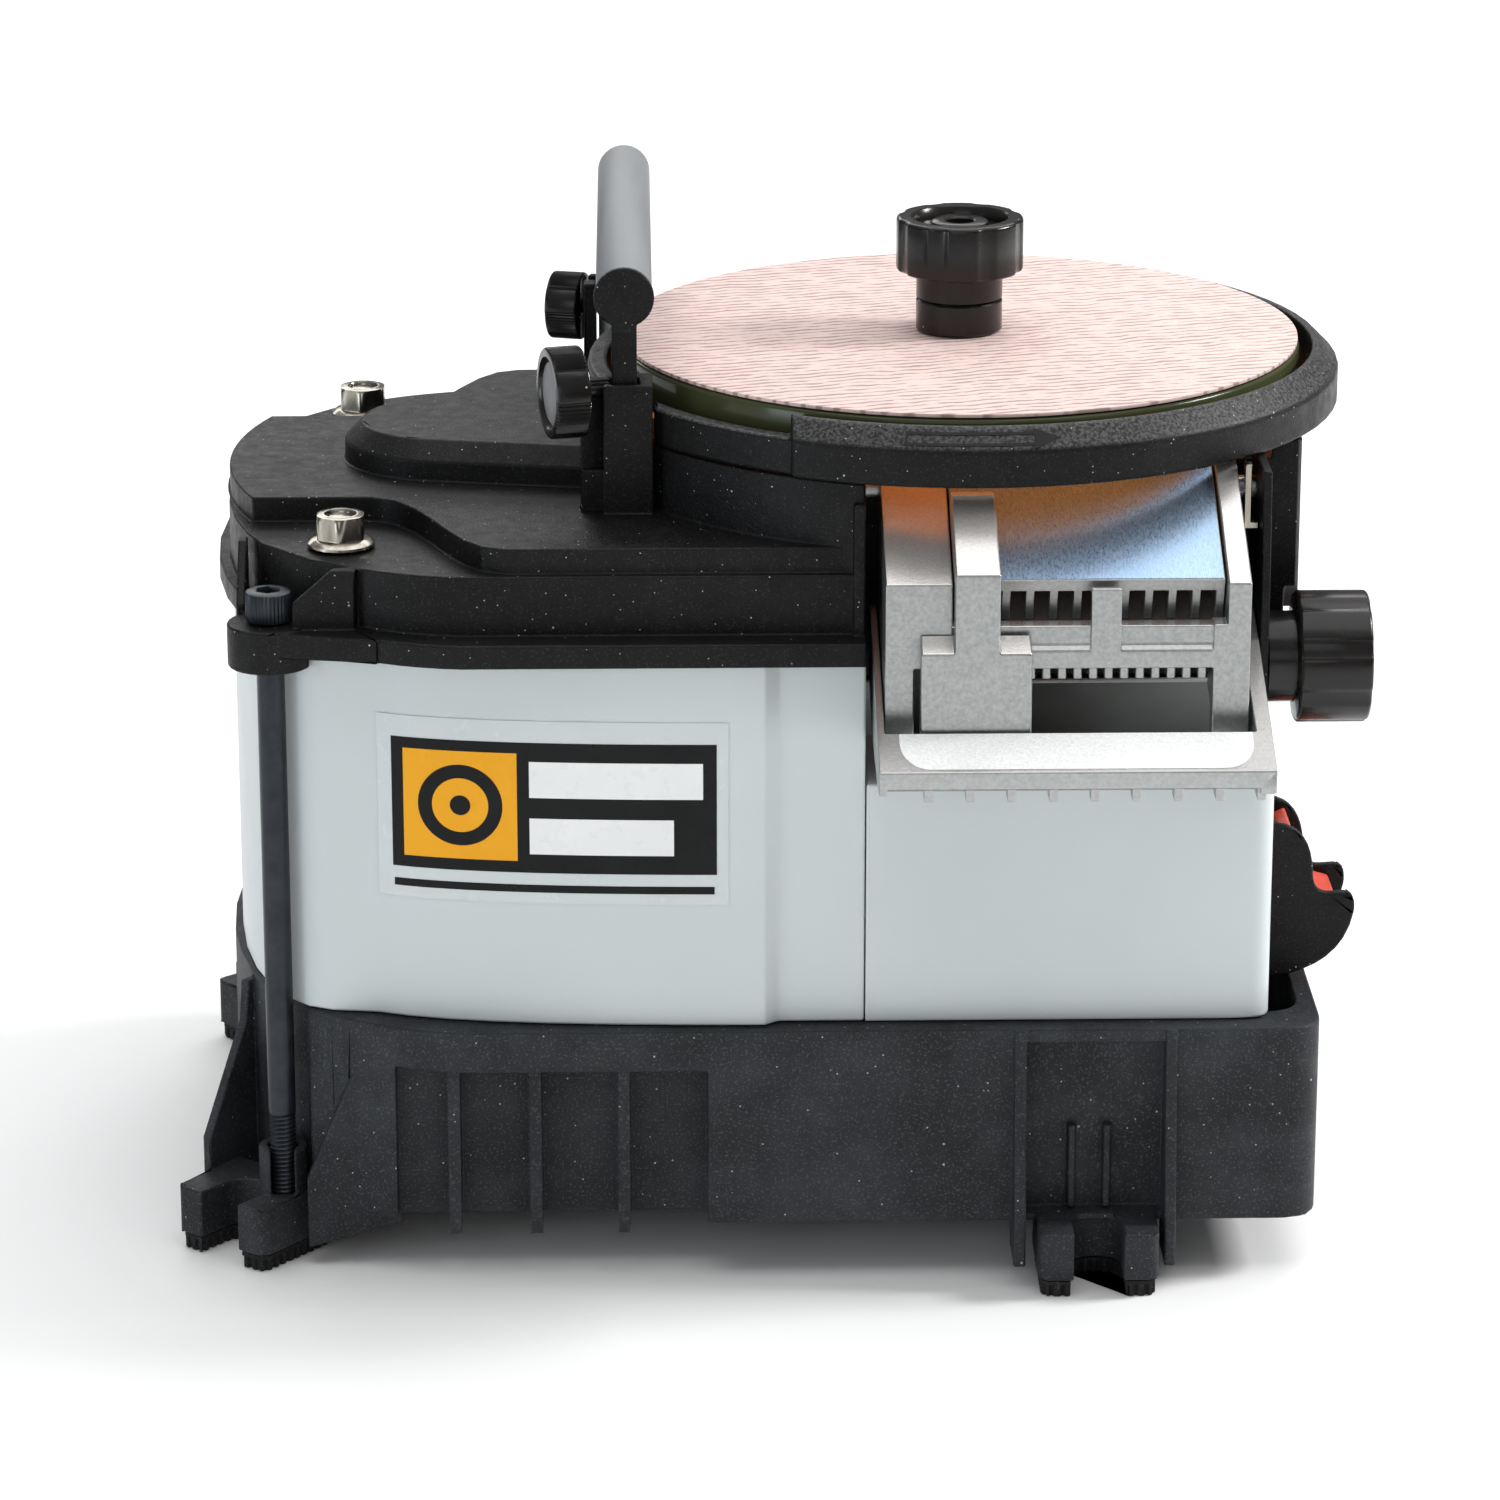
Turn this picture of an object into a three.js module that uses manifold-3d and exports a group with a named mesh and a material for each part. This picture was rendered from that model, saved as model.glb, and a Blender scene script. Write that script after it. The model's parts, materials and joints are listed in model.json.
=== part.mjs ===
// Disc sharpener for chisels and plane irons: a glass wheel turns flat on top, a tilting port
// under its front edge holds the blade, and a height-adjustable rest stands beside the wheel.
// Units are millimetres, +Z is up, +X is right and -Y is the front. Every size below is given
// from the wheel's axis on the floor; SPINDLE then moves the whole machine so that its origin
// is the middle of its footprint.
import * as THREE from 'three';
import { mergeVertices } from 'three/addons/utils/BufferGeometryUtils.js';
import Module from 'manifold-3d';

const wasm = await Module();
wasm.setup();

// ---------------------------------------------------------------- driving dimensions
const SPINDLE = new THREE.Vector3(43.8, 8, 0);
const GAP = 0.3;

const LEFT_END = -172.4;
const RIGHT_END = 84.8;
const FRONT_END = -114;
const REAR_END = 98;

const BASE_LOW = 13;
const BASE_TOP = 57;
const BASE_FLOOR = 3;
const BASE_FRONT = 86;
const BASE_RIGHT = 75;

const SHELL_LOW = BASE_TOP + GAP;
const SHELL_TOP = 138;
const SHELL_WALL = 3;
const PANEL_TOP = 110.7;
const PANEL_FRONT = 80.5;
const BULGE_FRONT = 83;
const SHELL_RIGHT = 64;
const SHELL_LEFT = -161;
const SEAM_X = -23.4;
const STEP_X = -44.7;
const PORT_BACK = -44;
const RISER_TOP = 123;

const COVER_LOW = SHELL_TOP + GAP;
const FLANGE_TOP = 143.5;
const LEDGE_TOP = 156.5;
const COVER_TOP = 162;
const COVER_WALL = 3;
const DOME_TOP = 170.5;
const COVER_RIGHT = 71.8;
const DRUM_RADIUS = 82;
const WELL_RADIUS = 78.4;
const DRUM_TOP = 176;
const WELL_FLOOR = 172;

const GUARD_RADIUS = 83.7;
const GUARD_LOW = DRUM_TOP + GAP;
const GUARD_EDGE = 184.3;
const GUARD_TOP = 188.6;
const GUARD_START = -39;

const WHEEL_RADIUS = 75;
const PAPER_TOP = 190;
const PAPER = 0.8;
const GLASS = 9.6;
const SPINDLE_RADIUS = 6;
const KNOB_RADIUS = 14;
const NECK_RADIUS = 9.5;
const KNOB_TOP = 215.6;

const MOTOR_X = -113;
const MOTOR_RADIUS = 40;
const BELT_LOW = 151.6;
const BELT_TOP = 157;
const BELT_THICK = 2.4;
const MOTOR_PITCH = 12.5;
const SPINDLE_PITCH = 37.5;
const PLATE_LOW = 126.3;
const PLATE_TOP = 130.3;

const NUT_X = -134.5;
const NUT_Y = 55;
const TIE_X = -149.4;
const TIE_Y = 68;
const EAR_TOP = 143.9;
const EAR_LOW = 134.5;

const REST_X = -73.9;
const REST_Z = 209.4;
const REST_RADIUS = 6;
const REST_FRONT = -50.5;
const REST_REAR = 80;
const COLUMN_Y = 45.3;
const COLUMN_TOP = 190.2;
const SOCKET_TOP = 169.5;
const KNOB_TURN = THREE.MathUtils.degToRad(15);

const TILT = THREE.MathUtils.degToRad(25);
const PIVOT = { y: -52, z: 168 };
const FRAME_FRONT = -95;
const FRAME_LEFT = -20;
const FRAME_RIGHT = 56;
const PLATFORM = { y: -91, z: 158.6 };
const CLAMP = { y: -60, z: 132.4 };
const SWITCH_Y = -47;

// ---------------------------------------------------------------- solids from geometries
function solid(geometry, matrix = new THREE.Matrix4()) {
  const bare = geometry.index ? geometry.toNonIndexed() : geometry.clone();
  bare.deleteAttribute('normal');
  bare.deleteAttribute('uv');
  bare.applyMatrix4(matrix);
  const merged = mergeVertices(bare, 1e-4);
  const point = merged.attributes.position.array;
  const index = merged.index.array;
  const corner = (i) => new THREE.Vector3().fromArray(point, 3 * i);
  const triangles = [];
  let volume = 0;
  for (let i = 0; i < index.length; i += 3) {
    const [a, b, c] = [index[i], index[i + 1], index[i + 2]];
    if (a === b || b === c || a === c) continue;
    triangles.push([a, b, c]);
    volume += corner(a).dot(corner(b).cross(corner(c)));
  }
  const outward = volume > 0 ? triangles : triangles.map(([a, b, c]) => [a, c, b]);
  return new wasm.Manifold(new wasm.Mesh({
    numProp: 3,
    vertProperties: new Float32Array(point),
    triVerts: new Uint32Array(outward.flat()),
  }));
}

function join(...bodies) {
  return bodies.reduce((whole, body) => whole.add(body));
}

function cut(body, ...tools) {
  return tools.reduce((rest, tool) => rest.subtract(tool), body);
}

function shapeOf(points) {
  return new THREE.Shape(points.map(([a, b]) => new THREE.Vector2(a, b)));
}

function extruded(shape, length, curveSegments) {
  return new THREE.ExtrudeGeometry(shape, { depth: length, bevelEnabled: false, curveSegments });
}

// A plan outline in x and y, raised from low to high.
function prism(shape, low, high, curveSegments = 7) {
  return solid(extruded(shape, high - low, curveSegments), new THREE.Matrix4().makeTranslation(0, 0, low));
}

// A side outline in y and z, from x = low to x = high.
function slabX(shape, low, high, curveSegments = 8) {
  const turn = new THREE.Matrix4().makeBasis(
    new THREE.Vector3(0, 1, 0), new THREE.Vector3(0, 0, 1), new THREE.Vector3(1, 0, 0));
  return solid(extruded(shape, high - low, curveSegments), turn.setPosition(low, 0, 0));
}

// A front outline in x and z, from y = low to y = high.
function slabY(shape, low, high, curveSegments = 8) {
  const turn = new THREE.Matrix4().makeBasis(
    new THREE.Vector3(1, 0, 0), new THREE.Vector3(0, 0, 1), new THREE.Vector3(0, -1, 0));
  return solid(extruded(shape, high - low, curveSegments), turn.setPosition(0, high, 0));
}

function block(x0, x1, y0, y1, z0, z1) {
  const box = new THREE.BoxGeometry(x1 - x0, y1 - y0, z1 - z0);
  return solid(box, new THREE.Matrix4().makeTranslation((x0 + x1) / 2, (y0 + y1) / 2, (z0 + z1) / 2));
}

function rod(radius, low, high, { x = 0, y = 0, sides = 32 } = {}) {
  const cylinder = new THREE.CylinderGeometry(radius, radius, high - low, sides);
  const turn = new THREE.Matrix4().makeRotationX(Math.PI / 2);
  return solid(cylinder, turn.setPosition(x, y, (low + high) / 2));
}

function rodX(radius, low, high, y, z, sides = 24) {
  const cylinder = new THREE.CylinderGeometry(radius, radius, high - low, sides);
  const turn = new THREE.Matrix4().makeRotationZ(Math.PI / 2);
  return solid(cylinder, turn.setPosition((low + high) / 2, y, z));
}

function rodY(radius, low, high, x, z, sides = 32) {
  return solid(new THREE.CylinderGeometry(radius, radius, high - low, sides),
    new THREE.Matrix4().makeTranslation(x, (low + high) / 2, z));
}

// A closed [radius, height] profile turned about the upright line through x and y.
function turned(profile, { x = 0, y = 0, sides = 40 } = {}) {
  const points = profile.map(([r, z]) => new THREE.Vector2(r, z));
  if (profile[0][0] > 0) points.push(points[0].clone());
  const turn = new THREE.Matrix4().makeRotationX(Math.PI / 2);
  return solid(new THREE.LatheGeometry(points, sides), turn.setPosition(x, y, 0));
}

function ring(inner, outer, low, high, options) {
  return turned([[inner, low], [outer, low], [outer, high], [inner, high]], options);
}

function mirrored(points) {
  return points.map(([x, y]) => [x, -y]).reverse();
}

// ---------------------------------------------------------------- materials
function finish(color, roughness, metalness = 0) {
  return () => new THREE.MeshStandardMaterial({ color, roughness, metalness });
}

const blackCase = finish(0x1c1d1f, 0.62);
const charcoal = finish(0x24272b, 0.7);
const whiteCase = finish(0xc4cbca, 0.42);
const rubber = finish(0x141414, 0.9);
const blackOxide = finish(0x23282e, 0.4, 0.8);
const zinc = finish(0xc9c7be, 0.25, 1);
const castAlloy = finish(0xb9bbb9, 0.45, 0.85);
const brightAlloy = finish(0xd5d7d6, 0.35, 0.9);
const steel = finish(0xaeb2b6, 0.3, 1);
const laminations = finish(0x7d8084, 0.5, 0.9);
const copper = finish(0xb4683a, 0.35, 1);
const castIron = finish(0x4b4d4f, 0.6, 0.7);
const glass = finish(0x59603a, 0.08);
const pinkPaper = finish(0xd9b3a8, 0.95);
const orangePaper = finish(0xc4501c, 0.95);
const blackKnob = finish(0x101011, 0.28);
const redPlastic = finish(0xd0402c, 0.4);
const greyTube = finish(0xaeb3b8, 0.4, 0.6);
const beltRubber = finish(0x202020, 0.8);
const label = finish(0x15171a, 0.35);
const canAlloy = finish(0xc2c4c6, 0.3, 0.9);
const nylon = finish(0xe2dfd2, 0.5);

const machine = new THREE.Group();

function part(name, body, material) {
  const mesh = body.getMesh();
  const geometry = new THREE.BufferGeometry();
  geometry.setAttribute('position', new THREE.BufferAttribute(new Float32Array(mesh.vertProperties), 3));
  geometry.setIndex(Array.from(mesh.triVerts));
  geometry.computeVertexNormals();
  const piece = new THREE.Mesh(geometry, material());
  piece.name = name;
  machine.add(piece);
}

// ---------------------------------------------------------------- outlines in plan
// The white shell: a flat front with a proud bulge left of the step, a fold, and a round left end.
function shellOutline(grow) {
  const right = SHELL_RIGHT + grow;
  const left = SHELL_LEFT - grow;
  const corner = 6;
  const shape = new THREE.Shape();
  shape.moveTo(right - corner, -PANEL_FRONT - grow);
  shape.quadraticCurveTo(right, -PANEL_FRONT - grow, right, corner - PANEL_FRONT - grow);
  shape.lineTo(right, PANEL_FRONT + grow - corner);
  shape.quadraticCurveTo(right, PANEL_FRONT + grow, right - corner, PANEL_FRONT + grow);
  shape.lineTo(STEP_X + 3, PANEL_FRONT + grow);
  shape.lineTo(STEP_X, BULGE_FRONT + grow);
  shape.quadraticCurveTo(-108, 82.6 + grow, -127.7, 73.2 + grow);
  shape.lineTo(-137.6, 71.8 + grow);
  shape.bezierCurveTo(-150, 69.5 + grow, left, 42, left, 0);
  shape.bezierCurveTo(left, -42, -150, -69.5 - grow, -137.6, -71.8 - grow);
  shape.lineTo(-127.7, -73.2 - grow);
  shape.quadraticCurveTo(-108, -82.6 - grow, STEP_X, -BULGE_FRONT - grow);
  shape.lineTo(STEP_X + 3, -PANEL_FRONT - grow);
  shape.closePath();
  return shape;
}

// The base and the cover flange: the same body, plain, with its own front and right faces.
function plainOutline(left, right, front, corner = 9) {
  const shape = new THREE.Shape();
  shape.moveTo(right - corner, -front);
  shape.quadraticCurveTo(right, -front, right, corner - front);
  shape.lineTo(right, front - corner);
  shape.quadraticCurveTo(right, front, right - corner, front);
  shape.lineTo(-108, front);
  shape.quadraticCurveTo(-124, front - 1.5, -138, front - 13);
  shape.bezierCurveTo(-148, front - 16, left, 42, left, 0);
  shape.bezierCurveTo(left, -42, -148, 16 - front, -138, 13 - front);
  shape.quadraticCurveTo(-124, 1.5 - front, -108, -front);
  shape.closePath();
  return shape;
}

// ---------------------------------------------------------------- base and feet
const FOOT = { half: 13, depth: 21, slot: 5.4, slotEnd: 8, low: 3.8, top: 14.5 };

function footOutline(grow = 0) {
  const half = FOOT.half + grow;
  const slot = FOOT.slot - grow;
  const corner = 3;
  const shape = new THREE.Shape();
  shape.moveTo(-half, -FOOT.depth);
  shape.lineTo(-half, -corner);
  shape.quadraticCurveTo(-half, grow, corner - half, grow);
  shape.lineTo(-slot, grow);
  shape.lineTo(-slot, -FOOT.slotEnd);
  shape.absarc(0, -FOOT.slotEnd, slot, Math.PI, 2 * Math.PI, false);
  shape.lineTo(slot, grow);
  shape.lineTo(half - corner, grow);
  shape.quadraticCurveTo(half, grow, half, -corner);
  shape.lineTo(half, -FOOT.depth);
  shape.closePath();
  return shape;
}

// Each foot points outward from its own front middle; a rear foot mirrors the front one.
const FEET = [
  { name: 'foot_pad_front_left', x: -163.4, y: -73.6, out: [-0.64, -0.768], side: 1 },
  { name: 'foot_pad_front_right', x: 26.8, y: -REAR_END, out: [0, -1], side: 1 },
  { name: 'foot_pad_rear_left', x: -163.4, y: -73.6, out: [-0.64, -0.768], side: -1 },
  { name: 'foot_pad_rear_right', x: 26.8, y: -REAR_END, out: [0, -1], side: -1 },
];

function footMatrix({ x, y, out, side }) {
  const outward = new THREE.Vector3(out[0], out[1], 0).normalize();
  const across = new THREE.Vector3(-outward.y, outward.x, 0).negate();
  const matrix = new THREE.Matrix4().makeBasis(across, outward, new THREE.Vector3(0, 0, 1));
  matrix.setPosition(x, y, 0);
  return new THREE.Matrix4().makeScale(1, side, 1).multiply(matrix);
}

function inFoot(foot, geometry, lift = 0) {
  return solid(geometry, footMatrix(foot).multiply(new THREE.Matrix4().makeTranslation(0, 0, lift)));
}

function trimmedLeft(body) {
  return cut(body, block(LEFT_END - 20, LEFT_END, -120, 120, -1, 60));
}

function footLug(foot) {
  const lug = inFoot(foot, extruded(footOutline(), FOOT.top - FOOT.low, 8), FOOT.low);
  return trimmedLeft(lug);
}

function footPad(foot) {
  return trimmedLeft(inFoot(foot, extruded(footOutline(-0.6), FOOT.low - GAP, 8)));
}

function mirrorSide(side, low, high) {
  return side > 0 ? [low, high] : [-high, -low];
}

function straightFootWebs(side) {
  const profile = shapeOf([[-80, 5], [-93, 5], [-93, 15], [-88, 44], [-87.2, BASE_TOP], [-80, BASE_TOP]]
    .map(([y, z]) => [side * y, z]));
  const webs = [[8.7, 11.3], [41.2, 43.6]].map(([low, high]) => slabX(profile, low, high));
  const ribs = [20.8, 28.4].map((x) => block(x, x + 1.6, ...mirrorSide(side, -83.6, -80), 15, 34));
  return join(...webs, ...ribs);
}

function slantFootWebs(foot) {
  const near = [[-126, BASE_TOP], [-131.5, BASE_TOP], [-132.5, 47], [-143.8, 20], [-143.8, 4.2], [-123, 10]];
  const broad = slabY(shapeOf(near), ...mirrorSide(foot.side, -77, -73.6));
  const edge = new THREE.Shape([[-32, 5], [-11, 5], [-11, 22], [-23.5, 46], [-24.5, 55], [-32, 55]]
    .map(([v, z]) => new THREE.Vector2(v, z)));
  const upright = new THREE.Matrix4().makeBasis(
    new THREE.Vector3(0, 1, 0), new THREE.Vector3(0, 0, 1), new THREE.Vector3(1, 0, 0));
  const turn = footMatrix(foot).multiply(upright.setPosition(12.7, 0, 0));
  return join(broad, solid(extruded(edge, 2.2, 1), turn));
}

// The corner behind each slanted foot is open, so its long bolt stands free above a split boss.
function boltBay(foot) {
  const bay = shapeOf([[-12.5, -19.5], [12.7, -19.5], [12.7, 6], [-12.5, 6]]);
  return inFoot(foot, extruded(bay, BASE_TOP - FOOT.top + 1, 1), FOOT.top);
}

function boltBoss(side) {
  const boss = rod(5.3, FOOT.top - 1, 25, { x: TIE_X, y: side * TIE_Y, sides: 28 });
  const split = block(TIE_X - 2.6, TIE_X + 2.6, ...mirrorSide(side, TIE_Y, TIE_Y + 8), FOOT.top, 26);
  return cut(boss, split);
}

// Shallow bays along the base's front and back, with fins standing in them.
function baseBay(side) {
  return block(-124, -57, ...mirrorSide(side, -90, -78.5), BASE_LOW - 1, 48);
}

function baseFins(side) {
  const fins = [-111.5, -94, -75].map((x) => block(x - 1.3, x + 1.3, ...mirrorSide(side, -84, -77), 10, 49));
  return join(...fins);
}

function baseTub() {
  let tub = prism(plainOutline(SHELL_LEFT - 2, BASE_RIGHT, BASE_FRONT), BASE_LOW, BASE_TOP);
  for (const side of [1, -1]) {
    tub = cut(tub, baseBay(side), block(11.3, 41.2, ...mirrorSide(side, -90, -81), FOOT.top, 54));
    tub = join(tub, baseFins(side), straightFootWebs(side));
  }
  for (const foot of FEET) tub = join(tub, footLug(foot));
  for (const foot of FEET.filter(({ x }) => x < 0)) {
    tub = join(cut(tub, boltBay(foot)), slantFootWebs(foot), boltBoss(-foot.side));
  }
  const hollow = prism(plainOutline(-156.5, BASE_RIGHT - 4, 75.5), BASE_LOW + BASE_FLOOR, BASE_TOP + 1);
  const vents = [-148, -138, -128, -118, -108, -98, -88, -78].map((x) => block(x, x + 4, -24, 24, 12, 17));
  const bores = [1, -1].map((side) => rod(3.3, 6, BASE_TOP + 1, { x: TIE_X, y: side * TIE_Y, sides: 20 }));
  const gland = rodY(6.3, 70, 90, -18, 34, 24);
  return cut(tub, hollow, ...vents, ...bores, gland);
}

function cordGland() {
  const flange = rodY(9, BASE_FRONT + GAP, BASE_FRONT + 3, -18, 34, 24);
  const sleeve = rodY(6, 72, 95, -18, 34, 24);
  const bore = rodY(3.6, 60, 99, -18, 34, 20);
  return cut(join(flange, sleeve), bore);
}

// ---------------------------------------------------------------- white shell and front box
function switchWindow() {
  return block(59, 66, SWITCH_Y - 9.2, SWITCH_Y + 9.2, 61, 95);
}

function motorHousing() {
  let shell = cut(prism(shellOutline(0), SHELL_LOW, SHELL_TOP), prism(shellOutline(-SHELL_WALL), 50, 140));
  const portBay = block(SEAM_X, 70, -90, PORT_BACK + 2.2, 50, 140);
  const boxBay = block(SEAM_X, 70, -90, -30, 50, PANEL_TOP + GAP);
  shell = cut(shell, portBay, boxBay);
  const louvres = Array.from({ length: 9 }, (_, i) => block(-116 + 8 * i, -112 + 8 * i, 70, 90, 72, 112));
  return cut(shell, ...louvres);
}

function portPanel() {
  const left = SEAM_X + GAP;
  const outline = new THREE.Shape();
  outline.moveTo(left, -PANEL_FRONT);
  outline.lineTo(SHELL_RIGHT - 5, -PANEL_FRONT);
  outline.quadraticCurveTo(SHELL_RIGHT, -PANEL_FRONT, SHELL_RIGHT, 5 - PANEL_FRONT);
  outline.lineTo(SHELL_RIGHT, -30 - GAP);
  outline.lineTo(left, -30 - GAP);
  outline.closePath();
  const whole = prism(outline, SHELL_LOW, PANEL_TOP);
  const inner = block(left + 2.5, SHELL_RIGHT - 2.5, 2.5 - PANEL_FRONT, -20, 50, PANEL_TOP - 2.5);
  const backDeck = block(left - 1, SHELL_RIGHT - 2.5, PORT_BACK - 1, -20, 100, 120);
  const riser = block(left, SHELL_RIGHT - 2.6, PORT_BACK - 2.4, PORT_BACK - GAP, PANEL_TOP - 2.5, RISER_TOP);
  const box = cut(whole, inner, backDeck, switchWindow(), block(left - 1, left + 3, -60, -20, 50, 109));
  return join(box, riser);
}

function labelPlate() {
  const skin = cut(prism(shellOutline(0.45), 91, 121, 12), prism(shellOutline(0.12), 90, 122, 12));
  return skin.intersect(block(-124.2, -54.6, -95, -60, 91, 121));
}

// ---------------------------------------------------------------- top cover
// The raised face: behind the two nut ledges on the left, full depth on the right.
function raisedFace(inset = 0) {
  const left = -161.5 + inset;
  const ledge = 35 - inset;
  const front = 77 - inset;
  const end = 84;
  const shape = new THREE.Shape();
  shape.moveTo(left + 7, -ledge);
  shape.lineTo(-129 + inset, -ledge);
  shape.bezierCurveTo(-115 + inset, -ledge - 2, -112 + inset, -front, -99 + inset, -front);
  shape.lineTo(end, -front);
  shape.lineTo(end, front);
  shape.lineTo(-99 + inset, front);
  shape.bezierCurveTo(-112 + inset, front, -115 + inset, ledge + 2, -129 + inset, ledge);
  shape.lineTo(left + 7, ledge);
  shape.quadraticCurveTo(left, 18, left, 0);
  shape.quadraticCurveTo(left, -18, left + 7, -ledge);
  return shape;
}

// Two tangent circles, one round each pulley, as one closed loop.
function beltLoop(smallRadius, largeRadius, smallX = MOTOR_X, largeX = 0) {
  const reach = Math.acos((smallRadius - largeRadius) / (largeX - smallX));
  const shape = new THREE.Shape();
  shape.absarc(smallX, 0, smallRadius, reach, 2 * Math.PI - reach, false);
  shape.absarc(largeX, 0, largeRadius, -reach, reach, false);
  shape.closePath();
  return shape;
}

function dome() {
  const bevel = 4;
  const geometry = new THREE.ExtrudeGeometry(beltLoop(19, 34, MOTOR_X, -30), {
    depth: DOME_TOP - LEDGE_TOP - 2 * bevel, bevelEnabled: true, bevelThickness: bevel,
    bevelSize: bevel, bevelSegments: 1, curveSegments: 12 });
  return solid(geometry, new THREE.Matrix4().makeTranslation(0, 0, LEDGE_TOP + bevel));
}

function tieEar(side) {
  const web = shapeOf([[TIE_X, -TIE_Y - 8.5], [-126, -81], [-126, -70], [TIE_X - 4, -55], [TIE_X - 8.5, -TIE_Y]]
    .map(([x, y]) => [x, side * y]));
  return join(rod(9, EAR_LOW, EAR_TOP, { x: TIE_X, y: side * TIE_Y, sides: 28 }),
    prism(web, COVER_LOW, FLANGE_TOP));
}

// The bay round a long bolt's head: open outward, with a flat back wall and a web at each end.
function tieRoom(side, low, grow = 0) {
  const room = shapeOf([[-153.5 + grow, -49.5 + grow], [-135.2 + grow, -71.2 + grow], [-135.2, -95],
    [-180, -95], [-180, -49.5 + grow]].map(([x, y]) => [x, side * y]));
  return prism(room, low, 185);
}

function tieWebs(side) {
  const front = shapeOf([[-144.2, FLANGE_TOP - 1], [-144.2, 149], [-135.6, LEDGE_TOP], [-131, LEDGE_TOP],
    [-131, FLANGE_TOP - 1]]);
  const left = shapeOf([[-46, FLANGE_TOP - 1], [-46, LEDGE_TOP], [-49.5, LEDGE_TOP], [-61.5, 145.5],
    [-61.5, FLANGE_TOP - 1]].map(([y, z]) => [side * y, z]));
  return join(slabY(front, ...mirrorSide(side, -73.6, -71)), slabX(left, -156.8, -154.9));
}

function coverShell() {
  const flange = prism(plainOutline(SHELL_LEFT - 3.2, SHELL_RIGHT + 2, BASE_FRONT), COVER_LOW, FLANGE_TOP);
  const wall = prism(shellOutlineAbove(), FLANGE_TOP - 1, LEDGE_TOP);
  const face = prism(raisedFace(), LEDGE_TOP - 1, COVER_TOP).intersect(
    prism(shellOutlineAbove(), LEDGE_TOP - 1, COVER_TOP));
  const drum = rod(DRUM_RADIUS, COVER_LOW, DRUM_TOP, { sides: 64 }).intersect(
    block(-90, COVER_RIGHT, -90, 90, 130, 180));
  return join(flange, wall, face, drum, dome(), tieEar(1), tieEar(-1));
}

function shellOutlineAbove() {
  return plainOutline(-161.6, 60, 79, 12);
}

function coverHollow() {
  const low = prism(plainOutline(-158.2, 58, 76, 12), COVER_LOW - 5, LEDGE_TOP - COVER_WALL);
  const high = prism(raisedFace(COVER_WALL), LEDGE_TOP - COVER_WALL - 1, COVER_TOP - COVER_WALL).intersect(
    prism(plainOutline(-158.2, 58, 76, 12), LEDGE_TOP - COVER_WALL - 1, COVER_TOP - COVER_WALL));
  const loft = prism(beltLoop(17, 32, MOTOR_X, -30), COVER_TOP - COVER_WALL - 1, DOME_TOP - 3);
  const drum = rod(DRUM_RADIUS - 3, COVER_LOW - 5, WELL_FLOOR - 3, { sides: 64 }).intersect(
    block(-90, COVER_RIGHT - COVER_WALL, -90, 90, 130, 180));
  const whole = join(low, high, loft.intersect(block(-140, -76, -60, 60, 150, 170)), drum);
  return cut(whole, tieRoom(1, COVER_LOW, 2.4), tieRoom(-1, COVER_LOW, 2.4));
}

function portLiner() {
  const left = block(SEAM_X - 2.6, SEAM_X - 0.2, -80.4, PORT_BACK + 2, 111.4, WELL_FLOOR);
  const back = block(SEAM_X - 2.6, 62, PORT_BACK, PORT_BACK + 2, RISER_TOP + GAP, WELL_FLOOR);
  return join(left, back);
}

function strut() {
  const post = block(63.4, 71.8, PORT_BACK, -33, COVER_LOW - 1, DRUM_TOP).intersect(
    rod(GUARD_RADIUS - 0.2, 130, DRUM_TOP, { sides: 64 }));
  return post;
}

// The room the port's clamp knob swings through.
function knobRoom() {
  return join(rodX(15.4, 68.6, 90, -53.7, 131.6, 32), rodX(11, 60, 69, -53.7, 131.6, 32));
}

// The line a rest knob turns about leans 15 degrees away from the machine's long axis.
function knobLine(side) {
  const turn = new THREE.Matrix4().makeRotationZ(Math.PI - side * KNOB_TURN);
  return turn.setPosition(REST_X, side * COLUMN_Y, 0);
}

function alongKnob(side, width, from, to, low, high) {
  const box = new THREE.BoxGeometry(to - from, width, high - low);
  const shift = new THREE.Matrix4().makeTranslation((from + to) / 2, 0, (low + high) / 2);
  return solid(box, knobLine(side).multiply(shift));
}

function frontColumn() {
  const body = block(-78.4, -67.9, -50.3, -38.5, 148, COLUMN_TOP);
  const ear = block(-83.4, -78, -46.8, -41.6, 158, COLUMN_TOP);
  const hole = block(-77.1, -70.7, -48.5, -42.1, 150, COLUMN_TOP + 1);
  const slot = alongKnob(-1, 3.8, 2, 14, 171, 192);
  return { add: join(body, ear), take: join(hole, slot, alongKnob(-1, 30, 9.2, 20, 163, 210)) };
}

function rearColumn() {
  const body = block(-82.6, -66.4, 37.8, 52.8, 146, SOCKET_TOP);
  const ear = block(-83.2, -80.3, 40.4, 51.6, 158, 191);
  const hole = rod(REST_RADIUS + GAP, 148, 200, { x: REST_X, y: COLUMN_Y, sides: 28 });
  const slot = alongKnob(1, 3.8, 2, 14, 171.5, 192);
  return { add: join(body, ear), take: join(hole, slot, alongKnob(1, 30, 9.2, 20, 163, 210)) };
}

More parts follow.
